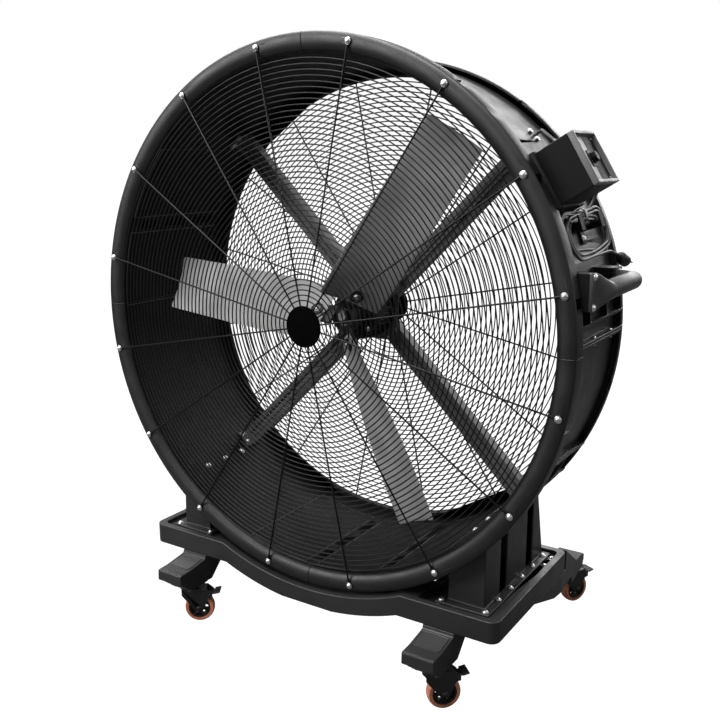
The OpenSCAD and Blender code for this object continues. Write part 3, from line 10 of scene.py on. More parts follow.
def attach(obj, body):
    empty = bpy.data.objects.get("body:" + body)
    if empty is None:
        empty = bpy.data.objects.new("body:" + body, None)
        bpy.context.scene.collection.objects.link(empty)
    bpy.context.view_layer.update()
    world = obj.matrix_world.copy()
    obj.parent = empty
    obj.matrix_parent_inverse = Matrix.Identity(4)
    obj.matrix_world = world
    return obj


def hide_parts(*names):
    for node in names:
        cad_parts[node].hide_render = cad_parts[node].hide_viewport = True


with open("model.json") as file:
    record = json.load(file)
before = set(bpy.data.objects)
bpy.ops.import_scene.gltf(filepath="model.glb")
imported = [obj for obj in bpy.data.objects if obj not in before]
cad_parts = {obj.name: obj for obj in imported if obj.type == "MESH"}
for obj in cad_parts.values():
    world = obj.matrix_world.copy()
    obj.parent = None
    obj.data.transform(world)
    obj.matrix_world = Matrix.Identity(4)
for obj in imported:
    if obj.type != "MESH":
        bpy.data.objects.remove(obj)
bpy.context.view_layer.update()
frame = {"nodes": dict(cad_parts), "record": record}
nodes = frame["nodes"]

# Sizes repeated from the part's source, in millimetres and degrees
MM = 0.001
SEAT_GAP = 0.3
FRONT = -364
AXIS = 1062
DEPTH = 500
RING_OUT = 821
BARREL_OUT = 768
BARREL_IN = 760
FRONT_BOLT_R, REAR_BOLT_R = 800, 758
DOME_R, DOME_H, BOLT_R = 10, 7, 5
NUT_R, NUT_H = 9, 7
SMALL_HEAD_R, SMALL_HEAD_H, SMALL_R = 7.5, 5, 4
SPOKE_COUNT = 16
SPOKE_STEP = 360 / SPOKE_COUNT
SPOKES = [SPOKE_STEP * (k + 0.5) for k in range(SPOKE_COUNT)]
EYE_T = 3
DISC_R = 62
WIRE_PITCH = 15.3
FRAME_ANGLES = (45, 135, 225, 315)
ARM_W, ARM_T, ARM_Y = 60, 3, 382
MOTOR_FRONT = 273.4
BOX_ANGLE = 31.5
BOX_MIDDLE = 136
BEZEL_R = 920
HANK_ANGLE = 21
HANK_Y = 216
CORD_D = 8
HANDLE_X, HANDLE_Z = RING_OUT + 27, AXIS + 160
HANDLE_FRONT_X = RING_OUT + 3 + SEAT_GAP
HANDLE_BACK_X = BARREL_OUT + 32 + SEAT_GAP
HANDLE_FOOT_T = 10
FLOOR_Z = 285
FLANGE_TOP = 293.3
CASTER_FRONT_X, CASTER_FRONT_Y = 467, -409
CASTER_BACK_X, CASTER_BACK_Y = 575, 398.79
TRAIL = 34
WHEEL_R = 50

# Place and heading of each caster
CASTERS = {
    "fr": (CASTER_FRONT_X, CASTER_FRONT_Y, 45),
    "fl": (-CASTER_FRONT_X, CASTER_FRONT_Y, 33),
    "br": (CASTER_BACK_X, CASTER_BACK_Y, 62),
    "bl": (-CASTER_BACK_X, CASTER_BACK_Y, 50),
}


# Camera and stage

cam_data = bpy.data.cameras.new("camera")
cam = bpy.data.objects.new("camera", cam_data)
bpy.context.scene.collection.objects.link(cam)
cam_data.sensor_width = 36
cam_data.lens = 44.44
cam_data.clip_end = 60
cam.location = (1.5168, -2.4352, 1.554)
cam.rotation_euler = (math.radians(90 - 13.02), 0, math.radians(32.58))
bpy.context.scene.camera = cam
bpy.context.scene.view_settings.view_transform = "Standard"


def node_tree(mat):
    mat.use_nodes = True
    mat.node_tree.nodes.clear()
    return mat.node_tree


def backdrop_share(nt, direct, mirrored):
    """Direct where the camera sees it, mirrored where gloss or glass shows it, 0 for its light."""
    path = nt.nodes.new("ShaderNodeLightPath")
    total = None
    shares = {"Is Camera Ray": direct, "Is Glossy Ray": mirrored, "Is Transmission Ray": mirrored}
    for ray, share in shares.items():
        node = nt.nodes.new("ShaderNodeMath")
        node.operation = "MULTIPLY_ADD"
        node.inputs[1].default_value = share
        node.inputs[2].default_value = 0
        nt.links.new(path.outputs[ray], node.inputs[0])
        if total:
            nt.links.new(total, node.inputs[2])
        total = node.outputs[0]
    return total


def make_stage():
    """A white floor that keeps the object's shadow, under a white surround with a soft light."""
    mesh = bpy.data.meshes.new("floor")
    half = 40
    corners = [(-half, -half, 0), (half, -half, 0), (half, half, 0), (-half, half, 0)]
    mesh.from_pydata(corners, [], [(0, 1, 2, 3)])
    floor = bpy.data.objects.new("floor", mesh)
    bpy.context.scene.collection.objects.link(floor)
    mat = bpy.data.materials.new("floor")
    mesh.materials.append(mat)
    nt = node_tree(mat)
    out = nt.nodes.new("ShaderNodeOutputMaterial")
    diffuse = nt.nodes.new("ShaderNodeBsdfDiffuse")
    diffuse.inputs["Color"].default_value = (0.14, 0.14, 0.14, 1)
    glow = nt.nodes.new("ShaderNodeEmission")
    glow.inputs["Strength"].default_value = 1.25
    mix = nt.nodes.new("ShaderNodeMixShader")
    nt.links.new(backdrop_share(nt, 0.9, 0.0), mix.inputs[0])
    nt.links.new(diffuse.outputs[0], mix.inputs[1])
    nt.links.new(glow.outputs[0], mix.inputs[2])
    nt.links.new(mix.outputs[0], out.inputs["Surface"])
    world = bpy.data.worlds.new("world")
    bpy.context.scene.world = world
    nt = node_tree(world)
    out = nt.nodes.new("ShaderNodeOutputWorld")
    bg = nt.nodes.new("ShaderNodeBackground")
    bg.inputs["Color"].default_value = (1, 1, 1, 1)
    level = nt.nodes.new("ShaderNodeMapRange")
    level.inputs["To Min"].default_value = 0.022
    level.inputs["To Max"].default_value = 1.0
    nt.links.new(backdrop_share(nt, 1.0, 0.35), level.inputs["Value"])
    nt.links.new(level.outputs["Result"], bg.inputs["Strength"])
    nt.links.new(bg.outputs[0], out.inputs["Surface"])


def area_light(name, at, towards, size, power):
    data = bpy.data.lights.new(name, "AREA")
    data.shape = "RECTANGLE"
    data.size = size[0]
    data.size_y = size[1]
    data.energy = power
    light = bpy.data.objects.new(name, data)
    bpy.context.scene.collection.objects.link(light)
    light.location = at
    aim = Vector(towards) - Vector(at)
    light.rotation_euler = aim.to_track_quat("-Z", "Y").to_euler()


make_stage()
area_light("overhead", (-0.3, -2.0, 4.6), (-0.1, -0.2, 0.9), (2.2, 2.6), 170)
area_light("top_left", (-1.9, 0.5, 4.6), (0, 0, 1.2), (3.6, 3.2), 280)
area_light("front_left", (-4.3, -5.4, 3.2), (0, 0, 1.5), (3.2, 2.6), 230)
area_light("back", (0.2, 5.2, 3.0), (0, 0, 1.2), (5.0, 2.4), 190)
area_light("side", (4.2, 0.8, 3.0), (0.6, 0, 0.8), (2.4, 2.4), 25)


# Materials

class Maker:
    """Builds one node material around a Principled shader."""

    def __init__(self, name):
        self.mat = bpy.data.materials.new(name)
        self.nt = node_tree(self.mat)
        self.out = self.nt.nodes.new("ShaderNodeOutputMaterial")
        self.bsdf = self.nt.nodes.new("ShaderNodeBsdfPrincipled")
        self.nt.links.new(self.bsdf.outputs[0], self.out.inputs["Surface"])
        self.coords = self.nt.nodes.new("ShaderNodeTexCoord")

    def put(self, socket, value):
        self.bsdf.inputs[socket].default_value = value
        return self

    def noise(self, scale, detail=3.0, stretch=(1, 1, 1), rough=0.5):
        mapping = self.nt.nodes.new("ShaderNodeMapping")
        mapping.inputs["Scale"].default_value = stretch
        self.nt.links.new(self.coords.outputs["Object"], mapping.inputs["Vector"])
        tex = self.nt.nodes.new("ShaderNodeTexNoise")
        tex.inputs["Scale"].default_value = scale
        tex.inputs["Detail"].default_value = detail
        tex.inputs["Roughness"].default_value = rough
        self.nt.links.new(mapping.outputs[0], tex.inputs["Vector"])
        return tex.outputs[0]

    def span(self, value, low, high, start=0.3, end=0.7):
        node = self.nt.nodes.new("ShaderNodeMapRange")
        node.inputs["From Min"].default_value = start
        node.inputs["From Max"].default_value = end
        node.inputs["To Min"].default_value = low
        node.inputs["To Max"].default_value = high
        self.nt.links.new(value, node.inputs["Value"])
        return node.outputs["Result"]

    def colours(self, value, low, high):
        """Ramp between two colours over the middle of the noise's range."""
        ramp = self.nt.nodes.new("ShaderNodeValToRGB")
        for stop, at, tint in zip(ramp.color_ramp.elements, (0.3, 0.7), (low, high)):
            stop.position = at
            stop.color = (*tint, 1)
        self.nt.links.new(value, ramp.inputs[0])
        return ramp.outputs[0]

    def mix(self, factor, a, b):
        node = self.nt.nodes.new("ShaderNodeMix")
        node.data_type = "RGBA"
        self.nt.links.new(factor, node.inputs[0])
        self.nt.links.new(a, node.inputs[6])
        self.nt.links.new(b, node.inputs[7])
        return node.outputs[2]

    def colour(self, value):
        self.nt.links.new(value, self.bsdf.inputs["Base Color"])
        return self

    def rough(self, value):
        self.nt.links.new(value, self.bsdf.inputs["Roughness"])
        return self

    def bump(self, *layers):
        """Each layer is (height, depth in metres); the first is the coarsest."""
        last = None
        for height, depth in layers:
            node = self.nt.nodes.new("ShaderNodeBump")
            node.inputs["Distance"].default_value = depth
            node.inputs["Strength"].default_value = 1.0
            self.nt.links.new(height, node.inputs["Height"])
            if last:
                self.nt.links.new(last, node.inputs["Normal"])
            last = node.outputs[0]
        self.nt.links.new(last, self.bsdf.inputs["Normal"])
        return self


def grey(v):
    return (v, v, v)


def moulded(name, level, rough):
    """Moulded plastic with a fine leather-like grain, a slow change of tone, and dusty scuffs."""
    m = Maker(name)
    slow = m.noise(3.1, 4)
    scuff = m.noise(41, 5, (1, 1, 3), 0.62)
    a = m.colours(slow, grey(level * 0.75), grey(level * 1.25))
    b = m.colours(slow, grey(level * 1.5), grey(level * 1.9))
    m.colour(m.mix(m.span(scuff, 0, 0.5, 0.6, 0.8), a, b))
    m.rough(m.span(m.noise(17, 4), rough - 0.06, rough + 0.08))
    m.bump((m.noise(150, 2), 0.00015), (m.noise(900, 2), 0.00025))
    return m.mat


def urethane(name, tint, deep):
    """Slightly see-through cast tyre with a dusty tread."""
    m = Maker(name)
    slow = m.noise(14, 3)
    scuff = m.noise(130, 4)
    a = m.colours(slow, deep, tint)
    b = m.colours(slow, [c * 0.75 + 0.02 for c in deep], [c * 0.8 + 0.02 for c in tint])
    m.colour(m.mix(m.span(scuff, 0, 0.55, 0.52, 0.75), a, b))
    m.rough(m.span(scuff, 0.3, 0.5))
    m.bump((scuff, 0.00008))
    m.put("Subsurface Weight", 0.35).put("Subsurface Radius", (0.006, 0.002, 0.001))
    return m.mat


def painted(name, level, rough):
    """Powder coat: orange peel and a little wear."""
    m = Maker(name)
    slow = m.noise(9, 3)
    m.colour(m.colours(slow, grey(level * 0.8), grey(level * 1.25)))
    m.rough(m.span(m.noise(60, 3), rough - 0.05, rough + 0.1))
    m.bump((m.noise(420, 2), 0.0002))
    return m.mat


def bare_metal(name, level, rough):
    """Plated or mill-finished metal with fine streaks and blotches."""
    m = Maker(name)
    m.put("Metallic", 1.0)
    streak = m.noise(210, 4, rough=0.6)
    slow = m.noise(23, 4)
    a = m.colours(slow, grey(level * 0.85), grey(level * 1.15))
    b = m.colours(slow, grey(level * 0.75), grey(level * 0.9))
    m.colour(m.mix(m.span(streak, 0, 0.7, 0.45, 0.75), a, b))
    m.rough(m.span(streak, rough - 0.07, rough + 0.1))
    m.bump((streak, 0.00006))
    return m.mat


MAT = {
    "drum_shell": moulded("drum_shell", 0.004, 0.4),
    "bolts": bare_metal("bolts", 0.78, 0.3),
    "guard_wire": painted("guard_wire", 0.0015, 0.35),
    "frame_steel": painted("frame_steel", 0.13, 0.45),
    "motor_body": painted("motor_body", 0.015, 0.45),
    "bare_steel": bare_metal("bare_steel", 0.6, 0.3),
    "hub_steel": painted("hub_steel", 0.014, 0.4),
    "blade": painted("blade", 0.47, 0.45),
    "base_plastic": moulded("base_plastic", 0.02, 0.42),
    "caster_steel": painted("caster_steel", 0.012, 0.4),
    "wheel_core": moulded("wheel_core", 0.01, 0.35),
    "tyre": urethane("tyre", (1.0, 0.42, 0.25), (0.97, 0.33, 0.18)),
    "box_plastic": moulded("box_plastic", 0.0035, 0.5),
    "panel": moulded("panel", 0.17, 0.42),
    "bracket_steel": painted("bracket_steel", 0.01, 0.6),
    "handle_plastic": moulded("handle_plastic", 0.085, 0.42),
    "cord": moulded("cord", 0.06, 0.4),
    "plug": moulded("plug", 0.016, 0.4),
    "pale_label": moulded("pale_label", 0.5, 0.4),
    "grey_label": moulded("grey_label", 0.16, 0.4),
    # The guard disc's own matt black, also used as the painted shade of the seam slots inside the drum.
    "matt_disc": moulded("matt_disc", 0.001, 0.8),
    # A darker, duller copy of the drum plastic: painted shade on the drum's inside, also used for the
    # arms' grooves.
    "drum_inside": moulded("drum_inside", 0.0022, 0.5),
    # A lighter copy of the drum plastic: painted light on the back flange's lit front face.
    "flange_painted_light": moulded("flange_painted_light", 0.04, 0.5),
    # A lighter copy of the drum plastic: a painted highlight on the ribs inside the drum.
    "rib_painted_highlight": moulded("rib_painted_highlight", 0.02, 0.45),
    # A lighter copy of the base plastic: painted light on the front legs' lit tops.
    "leg_top_painted_light": moulded("leg_top_painted_light", 0.035, 0.42),
}
SPECULAR = {
    "matt_disc": 0.03,
    "drum_inside": 0.12,
    "guard_wire": 0.3,
    "drum_shell": 0.6,
    "bracket_steel": 0.25,
    "box_plastic": 0.18,
}
for n, level in SPECULAR.items():
    MAT[n].node_tree.nodes["Principled BSDF"].inputs["Specular IOR Level"].default_value = level
for entry in frame["record"]["subparts"]:
    o = nodes[entry["node"]]
    o.data.materials.clear()
    o.data.materials.append(MAT[entry["material_slot"]])


# Building blocks for pieces. A form's positions are in millimetres, and its mesh is in metres.

BODY_OF = {n: b for b, names in frame["record"]["behaviour"]["bodies"].items() for n in names}
SLOT_OF = {e["node"]: e["material_slot"] for e in frame["record"]["subparts"]}


def move(x, y, z):
    return Matrix.Translation((x, y, z))


def turn(axis, degrees):
    return Matrix.Rotation(math.radians(degrees), 4, axis)


def at_angle(theta):
    """Frame theta degrees above +X, with X radial, Y clockwise round the drum and Z to the back."""
    c, s = math.cos(math.radians(theta)), math.sin(math.radians(theta))
    return Matrix(((c, s, 0, 0), (0, 0, 1, FRONT), (s, -c, 0, AXIS), (0, 0, 0, 1)))


def at_hank():
    return at_angle(HANK_ANGLE) @ move(BARREL_OUT, 0, HANK_Y) @ turn("Y", -90) @ turn("X", 180)


MIRROR = Matrix.Scale(-1, 4, (1, 0, 0))


def rect_row(x0, x1, y0, y1, r, z, steps=4):
    """Rounded rectangle at height z."""
    row = []
    corners = ((x1 - r, y1 - r), (x0 + r, y1 - r), (x0 + r, y0 + r), (x1 - r, y0 + r))
    for corner, (cx, cy) in enumerate(corners):
        for i in range(steps + 1):
            t = math.radians(90 * corner + 90 * i / steps)
            row.append((cx + r * math.cos(t), cy + r * math.sin(t), z))
    return row


class Form:
    """Collects rows of points into one mesh."""

    def __init__(self):
        self.v = []
        self.f = []

    def loft(self, rows, m=Matrix(), loop=False):
        """Skin over closed rows, with both ends filled, or with the last row joined to the first."""
        n = len(rows[0])
        start = len(self.v)
        for row in rows:
            self.v.extend(m @ Vector(p) for p in row)
        count = len(rows)
        for i in range(count if loop else count - 1):
            a, b = start + i * n, start + (i + 1) % count * n
            for k in range(n):
                k2 = (k + 1) % n
                self.f.append((a + k, a + k2, b + k2, b + k))
        if not loop:
            self.f.append(tuple(start + k for k in reversed(range(n))))
            self.f.append(tuple(start + (count - 1) * n + k for k in range(n)))
        return self

    def lathe(self, profile, m=Matrix(), sides=32, loop=False):
        """Turns a profile of (radius, height) about Z."""
        turns = [2 * math.pi * k / sides for k in range(sides)]
        ring = [(math.cos(t), math.sin(t)) for t in turns]
        rows = [[(max(r, 1e-4) * c, max(r, 1e-4) * s, z) for c, s in ring] for r, z in profile]
        return self.loft(rows, m, loop=loop)

    def hexagon(self, r, h, m=Matrix(), chamfer=0.8):
        """Hexagonal nut or head from z = 0 to z = h, with its corners turned down at both ends."""
        corners = [math.radians(60 * k) for k in range(6)]
        rows = [[(r * share * math.cos(t), r * share * math.sin(t), z) for t in corners]
                for share, z in ((0.9, 0), (1, chamfer), (1, h - chamfer), (0.9, h))]
        return self.loft(rows, m)

    def soft_box(self, lo, hi, r, m=Matrix(), steps=3):
        """Box with all its edges rounded by r."""
        rows = []
        angles = [90 * i / steps for i in range(steps + 1)]
        levels = [(r * (1 - math.sin(math.radians(a))), lo[2] + r * (1 - math.cos(math.radians(a))))
                  for a in angles]
        levels += [(i, hi[2] + lo[2] - z) for i, z in reversed(levels)]
        for i, z in levels:
            rows.append(rect_row(lo[0] + i, hi[0] - i, lo[1] + i, hi[1] - i, r - i, z, steps))
        return self.loft(rows, m)

    def tube(self, points, r, sides=12, m=Matrix(), loop=False):
        """Round tube through points, with a frame carried along without twist."""
        pts = [Vector(p) for p in points]
        n = len(pts)
        rows = []
        side = None
        for i in range(n):
            a = pts[(i - 1) % n] if loop or i > 0 else pts[0]
            b = pts[(i + 1) % n] if loop or i < n - 1 else pts[-1]
            t = (b - a).normalized()
            if side is None:
                side = t.orthogonal().normalized()
            side = (side - t * side.dot(t)).normalized()
            up = t.cross(side)
            rr = r[i] if isinstance(r, list) else r
            turns = [2 * math.pi * k / sides for k in range(sides)]
            rows.append([pts[i] + rr * (side * math.cos(q) + up * math.sin(q)) for q in turns])
        return self.loft(rows, m, loop=loop)

    def make(self, name, slot, body, stands_for=(), angle=38, bevel=None, mat=None):
        mesh = bpy.data.meshes.new(name)
        bm = bmesh.new()
        vs = [bm.verts.new(p * MM) for p in self.v]
        for f in self.f:
            try:
                bm.faces.new([vs[i] for i in f])
            except ValueError:
                pass
        bmesh.ops.remove_doubles(bm, verts=bm.verts, dist=2e-6)
        bmesh.ops.dissolve_degenerate(bm, edges=bm.edges, dist=1e-7)
        bmesh.ops.recalc_face_normals(bm, faces=bm.faces)
        bm.to_mesh(mesh)
        bm.free()
        obj = bpy.data.objects.new(name, mesh)
        bpy.context.scene.collection.objects.link(obj)
        return finish_piece(obj, slot, body, stands_for, angle, bevel, mat)


def finish_piece(obj, slot, body, stands_for=(), angle=38, bevel=None, mat=None):
    """Gives a piece its slot's material, shading, rounded edges as (width, segments) and body."""
    mesh = obj.data
    mesh.materials.clear()
    mesh.materials.append(mat or MAT[slot])
    mesh.shade_smooth()
    if bevel:
        mod = obj.modifiers.new("edges", "BEVEL")
        mod.width = bevel[0] * MM
        mod.segments = bevel[1]
        mod.limit_method = "ANGLE"
        mod.angle_limit = math.radians(30)
        mod.use_clamp_overlap = False
        mod.harden_normals = True
    mesh.set_sharp_from_angle(angle=math.radians(angle))
    if stands_for:
        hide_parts(*stands_for)
    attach(obj, body)
    return obj


def rounded(node, width, segments=2):
    """A copy of a CAD node with its sharp edges rounded, in the node's place."""
    src = nodes[node]
    mesh = src.data.copy()
    bm = bmesh.new()
    bm.from_mesh(mesh)
    bmesh.ops.remove_doubles(bm, verts=bm.verts, dist=3e-6)
    bmesh.ops.dissolve_limit(bm, angle_limit=math.radians(0.1), verts=bm.verts, edges=bm.edges)
    bm.to_mesh(mesh)
    bm.free()
    obj = bpy.data.objects.new(node + "_skin", mesh)
    bpy.context.scene.collection.objects.link(obj)
    return finish_piece(obj, SLOT_OF[node], BODY_OF[node], (node,), 35, (width, segments))


# Fasteners

def dome_head(form, m, r, h):
    """Flanged domed head under z = 0, with its shank going to +Z."""
    cap = r * 0.84
    flange = h * 0.22
    profile = [(0, -h)]
    for a in range(75, -1, -15):
        t = math.radians(a)
        profile.append((cap * math.cos(t), -flange - (h - flange) * math.sin(t)))
    profile += [(r - 0.9, -flange), (r - 0.25, -flange * 0.75), (r, -flange * 0.3), (r - 0.1, 0),
                (0, 0)]
    form.lathe(profile, m)


def shank(form, m, r, start, end, tip=0.8):
    form.lathe([(0, start), (r, start), (r, end - tip), (r - tip, end), (0, end)], m, 20)


def dome_screw(form, m, length):
    dome_head(form, m, DOME_R, DOME_H)
    shank(form, m, BOLT_R, -1, length)


def dome_bolt(form, m, grip):
    dome_screw(form, m, grip + NUT_H + 1.2)
    form.hexagon(NUT_R, NUT_H, m @ move(0, 0, grip))


def small_screw(form, m, length):
    dome_head(form, m, SMALL_HEAD_R, SMALL_HEAD_H)
    shank(form, m, SMALL_R, -1, length)


# Mains cord: lead, hank and tail on one curve, with its gland, plug and tie

LEAD = [(32, 125, 90), (44, 125, 90), (58, 125, 90), (73, 123, 88), (86, 116, 83), (95, 105, 75),
        (98, 93, 65), (95, 81, 55), (86, 70, 47), (73, 63, 42), (60, 61, 40)]
TAIL = [(75, -61, 50.5), (100, -61, 52.5), (112, -62.6, 54.2), (123, -67.2, 56.2), (133, -73, 58)]
HANK_STEPS = 111
HANK_MIDDLE = 56
TURN_STEPS = 24
CLIMB_FROM, CLIMB_STEPS = 50, 12
INNER_H, OUTER_H = 40, 50
HALF_SPAN = 100


def hank_point(i):
    """Step i of the hank: an inner layer winds inwards, climbs, and an outer one winds out."""
    r = 38 + 23 * abs(i - HANK_MIDDLE) / (HANK_MIDDLE - 1)
    climb = min(1, max(0, (i - CLIMB_FROM) / CLIMB_STEPS))
    h = INNER_H + (OUTER_H - INNER_H) / 2 * (1 - math.cos(math.pi * climb))
    j = i % TURN_STEPS
    if j < 4:
        x, y = HALF_SPAN - 50 * j, r
    elif j < 12:
        t = math.radians(90 + 22.5 * (j - 4))
        x, y = -HALF_SPAN + r * math.cos(t), r * math.sin(t)
    elif j < 16:
        x, y = -HALF_SPAN + 50 * (j - 12), -r
    else:
        t = math.radians(-90 + 22.5 * (j - 16))
        x, y = HALF_SPAN + r * math.cos(t), r * math.sin(t)
    # The two layers lie a little turned and sagging, each less so towards its free end
    share = climb * climb * (3 - 2 * climb)
    outer = share * min(1, (HANK_STEPS - i) / 10)
    inner = (1 - share) * min(1, (i - 1) / 10)
    t = math.radians(6 * outer - 5 * inner)
    if y < 0:
        y -= (9 * outer - 3 * inner) * max(0, math.cos(math.radians(0.6 * x)))
    return (x * math.cos(t) - y * math.sin(t) + 5 * outer - 4 * inner,
            x * math.sin(t) + y * math.cos(t), h)


def smooth_path(points, steps):
    """Catmull-Rom curve through the points."""
    p = [Vector(q) for q in points]
    p = [2 * p[0] - p[1]] + p + [2 * p[-1] - p[-2]]
    out = []
    for i in range(1, len(p) - 2):
        for s in range(steps):
            t = s / steps
            out.append(0.5 * ((2 * p[i]) + (p[i + 1] - p[i - 1]) * t
                              + (2 * p[i - 1] - 5 * p[i] + 4 * p[i + 1] - p[i + 2]) * t * t
                              + (3 * p[i] - 3 * p[i + 1] + p[i + 2] - p[i - 1]) * t * t * t))
    out.append(p[-2])
    return out


hank = [hank_point(i) for i in range(1, HANK_STEPS + 1)]
route = [at_hank() @ q for q in smooth_path(LEAD + hank + TAIL, 5)]
curve = bpy.data.curves.new("mains_cord", "CURVE")
curve.dimensions = "3D"
curve.bevel_depth = CORD_D / 2 * MM
curve.bevel_resolution = 4
spline = curve.splines.new("POLY")
spline.points.add(len(route) - 1)
for point, q in zip(spline.points, route):
    point.co = (*(q * MM), 1)
spline.use_smooth = True
cord = bpy.data.objects.new("mains_cord", curve)
bpy.context.scene.collection.objects.link(cord)
curve.materials.append(MAT["cord"])
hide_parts("mains_lead", "mains_hank", "mains_tail")
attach(cord, "frame")

gland = Form()
at = at_hank() @ move(0.3, 125, 90) @ turn("Y", 90)
gland.hexagon(13, 8, at, 1)
relief = [(0, 7)]
for i in range(7):
    z = 8 + 3.3 * i
    r = 9 - 0.5 * i
    relief += [(r, z), (r, z + 1.9), (r - 1.1, z + 2.2), (r - 1.1, z + 3.1)]
relief += [(5.6, 31.2), (4.6, 31.9), (0, 31.9)]
gland.lathe(relief, at, 32)
gland_piece = gland.make("cord_gland_skin", "plug", "frame", ["cord_gland"])

plug = Form()
pins = Form()
plug_dir = Vector((1, -0.58, 0.12)).normalized()
at = (at_hank() @ move(*TAIL[-1]) @ turn("Z", math.degrees(math.atan2(plug_dir.y, plug_dir.x)))
      @ turn("Y", math.degrees(math.acos(plug_dir.z))))
neck = [(0, 0), (4.8, 0)]
for i in range(5):
    z = 1.5 + 3.6 * i
    r = 5.4 + 0.72 * i
    neck += [(r, z), (r + 0.3, z + 2), (r - 0.7, z + 2.4), (r - 0.7, z + 3.2)]
neck += [(9, 20), (9, 23), (0, 23)]
plug.lathe(neck, at, 32)
rows = []
PLUG_R = 17
for z, share in ((21, 0.62), (22, 0.78), (24, 0.9), (27, 0.97), (32, 1.0), (50, 1.0), (54, 0.985),
                 (55.4, 0.95), (56, 0.88)):
    row = []
    for k in range(72):
        t = 2 * math.pi * k / 72
        grooved = 30 < z < 52 and k % 6 < 2 and abs(math.sin(t)) > 0.55
        r = PLUG_R * share - (0.8 if grooved else 0)
        row.append((r * math.cos(t), r * math.sin(t), z))
    rows.append(row)
plug.loft(rows, at)
plug_piece = plug.make("mains_plug_skin", "plug", "frame", ["mains_plug"], angle=32)
for side in (-9.5, 9.5):
    pins.lathe([(0, 50), (2.4, 50), (2.4, 73.4), (1.9, 74.6), (0.9, 75), (0, 75)],
               at @ move(side, 0, 0), 24)
pin_piece = pins.make("plug_pins", "bare_steel", "frame")

tie = Form()
tie_rows = []
TIE_HALF_W, TIE_T, TIE_Y, TIE_Z = 9, 1.6, 48.6, 45
for k in range(48):
    t = 2 * math.pi * k / 48
    ct, st = math.cos(t), math.sin(t)
    y = TIE_Y + 17.4 * math.copysign(abs(ct) ** 0.55, ct)
    z = TIE_Z + 10.6 * math.copysign(abs(st) ** 0.7, st)
    out = Vector((0, y - TIE_Y, z - TIE_Z)).normalized() * TIE_T
    tie_rows.append([(-TIE_HALF_W, y, z), (TIE_HALF_W, y, z), (TIE_HALF_W, y + out.y, z + out.z),
                     (-TIE_HALF_W, y + out.y, z + out.z)])
tie.loft(tie_rows, at_hank(), loop=True)
tie.soft_box((-TIE_HALF_W, 40, 56.8), (TIE_HALF_W, 61, 59.4), 0.9, at_hank())
tie_piece = tie.make("cord_tie", "cord", "frame", bevel=(0.4, 2))


# Bolts of the guards, drum and frame

FOOT_R = math.sqrt(BARREL_IN ** 2 - (ARM_W / 2) ** 2) - SEAT_GAP
SADDLE_X = 515.5
SADDLE_ANGLE = -math.degrees(math.acos(SADDLE_X / BARREL_OUT))
BRACKET_HALF_W = 74.5
BRACKET_FOOT_R = math.sqrt(BARREL_OUT ** 2 - BRACKET_HALF_W ** 2) + SEAT_GAP
EYE_FACE = EYE_T + SEAT_GAP

guard_bolts = Form()
for a in SPOKES:
    dome_bolt(guard_bolts, at_angle(a) @ move(FRONT_BOLT_R, 0, -EYE_FACE), 13.5)
    dome_screw(guard_bolts, at_angle(a) @ move(REAR_BOLT_R, 0, DEPTH + EYE_FACE) @ turn("X", 180), 17.3)
guard_bolts.make("guard_bolt_set", "bolts", "frame", ["guard_bolts"])

drum_bolts = Form()
for a in (0, 90, 180, 270):
    for y in (120, 260, 400):
        seam = at_angle(a) @ move(BARREL_OUT + 11, -8.2, y) @ turn("X", -90)
        small_screw(drum_bolts, seam, 22.4)
        drum_bolts.hexagon(SMALL_HEAD_R, SMALL_HEAD_H, seam @ move(0, 0, 16.4))
for side in (Matrix(), MIRROR):
    for across in (-15, 15):
        foot = move(FOOT_R - 6, across, 352) @ turn("Y", 90)
        dome_bolt(drum_bolts, side @ at_angle(45) @ foot, BARREL_IN + 14 - FOOT_R)
        dome_screw(drum_bolts, side @ at_angle(-45) @ foot, BARREL_IN + 20 - FOOT_R)
    for y in (120, 210, 300):
        saddle = at_angle(SADDLE_ANGLE) @ move(BARREL_IN - 0.1, 0, y) @ turn("Y", 90)
        dome_bolt(drum_bolts, side @ saddle, 14.5)
    for x, y, up in ((HANDLE_FRONT_X, 68, 38), (HANDLE_BACK_X, 350, 22)):
        for z in (HANDLE_Z - up, HANDLE_Z + up):
            dome_screw(drum_bolts, side @ move(x + HANDLE_FOOT_T, FRONT + y, z) @ turn("Y", -90), 28)
for side in (-1, 1):
    for y in (81.6, 190.4):
        foot = at_angle(BOX_ANGLE) @ move(BRACKET_FOOT_R + 4, side * 90.5, y)
        dome_screw(drum_bolts, foot @ turn("Y", -90), 18)
    dome_screw(drum_bolts, at_hank() @ move(side * 78, -8.3, 5.3) @ turn("X", 180), 12)
drum_bolts.make("drum_bolt_set", "bolts", "frame", ["drum_bolts"])

frame_bolts = Form()
for a in FRAME_ANGLES:
    for r in (74, 106):
        for side in (-19.2, 19.2):
            small_screw(frame_bolts, at_angle(a) @ move(r, side, ARM_Y + ARM_T) @ turn("X", 180), 9.3)
    dome_screw(frame_bolts, at_angle(a + 45) @ move(62, 0, ARM_Y - SEAT_GAP) @ turn("X", 180), 24)
    dome_screw(frame_bolts, at_angle(a) @ move(66, 0, MOTOR_FRONT), 26)
frame_bolts.make("frame_bolt_set", "bolts", "frame", ["frame_bolts"])


# Guards

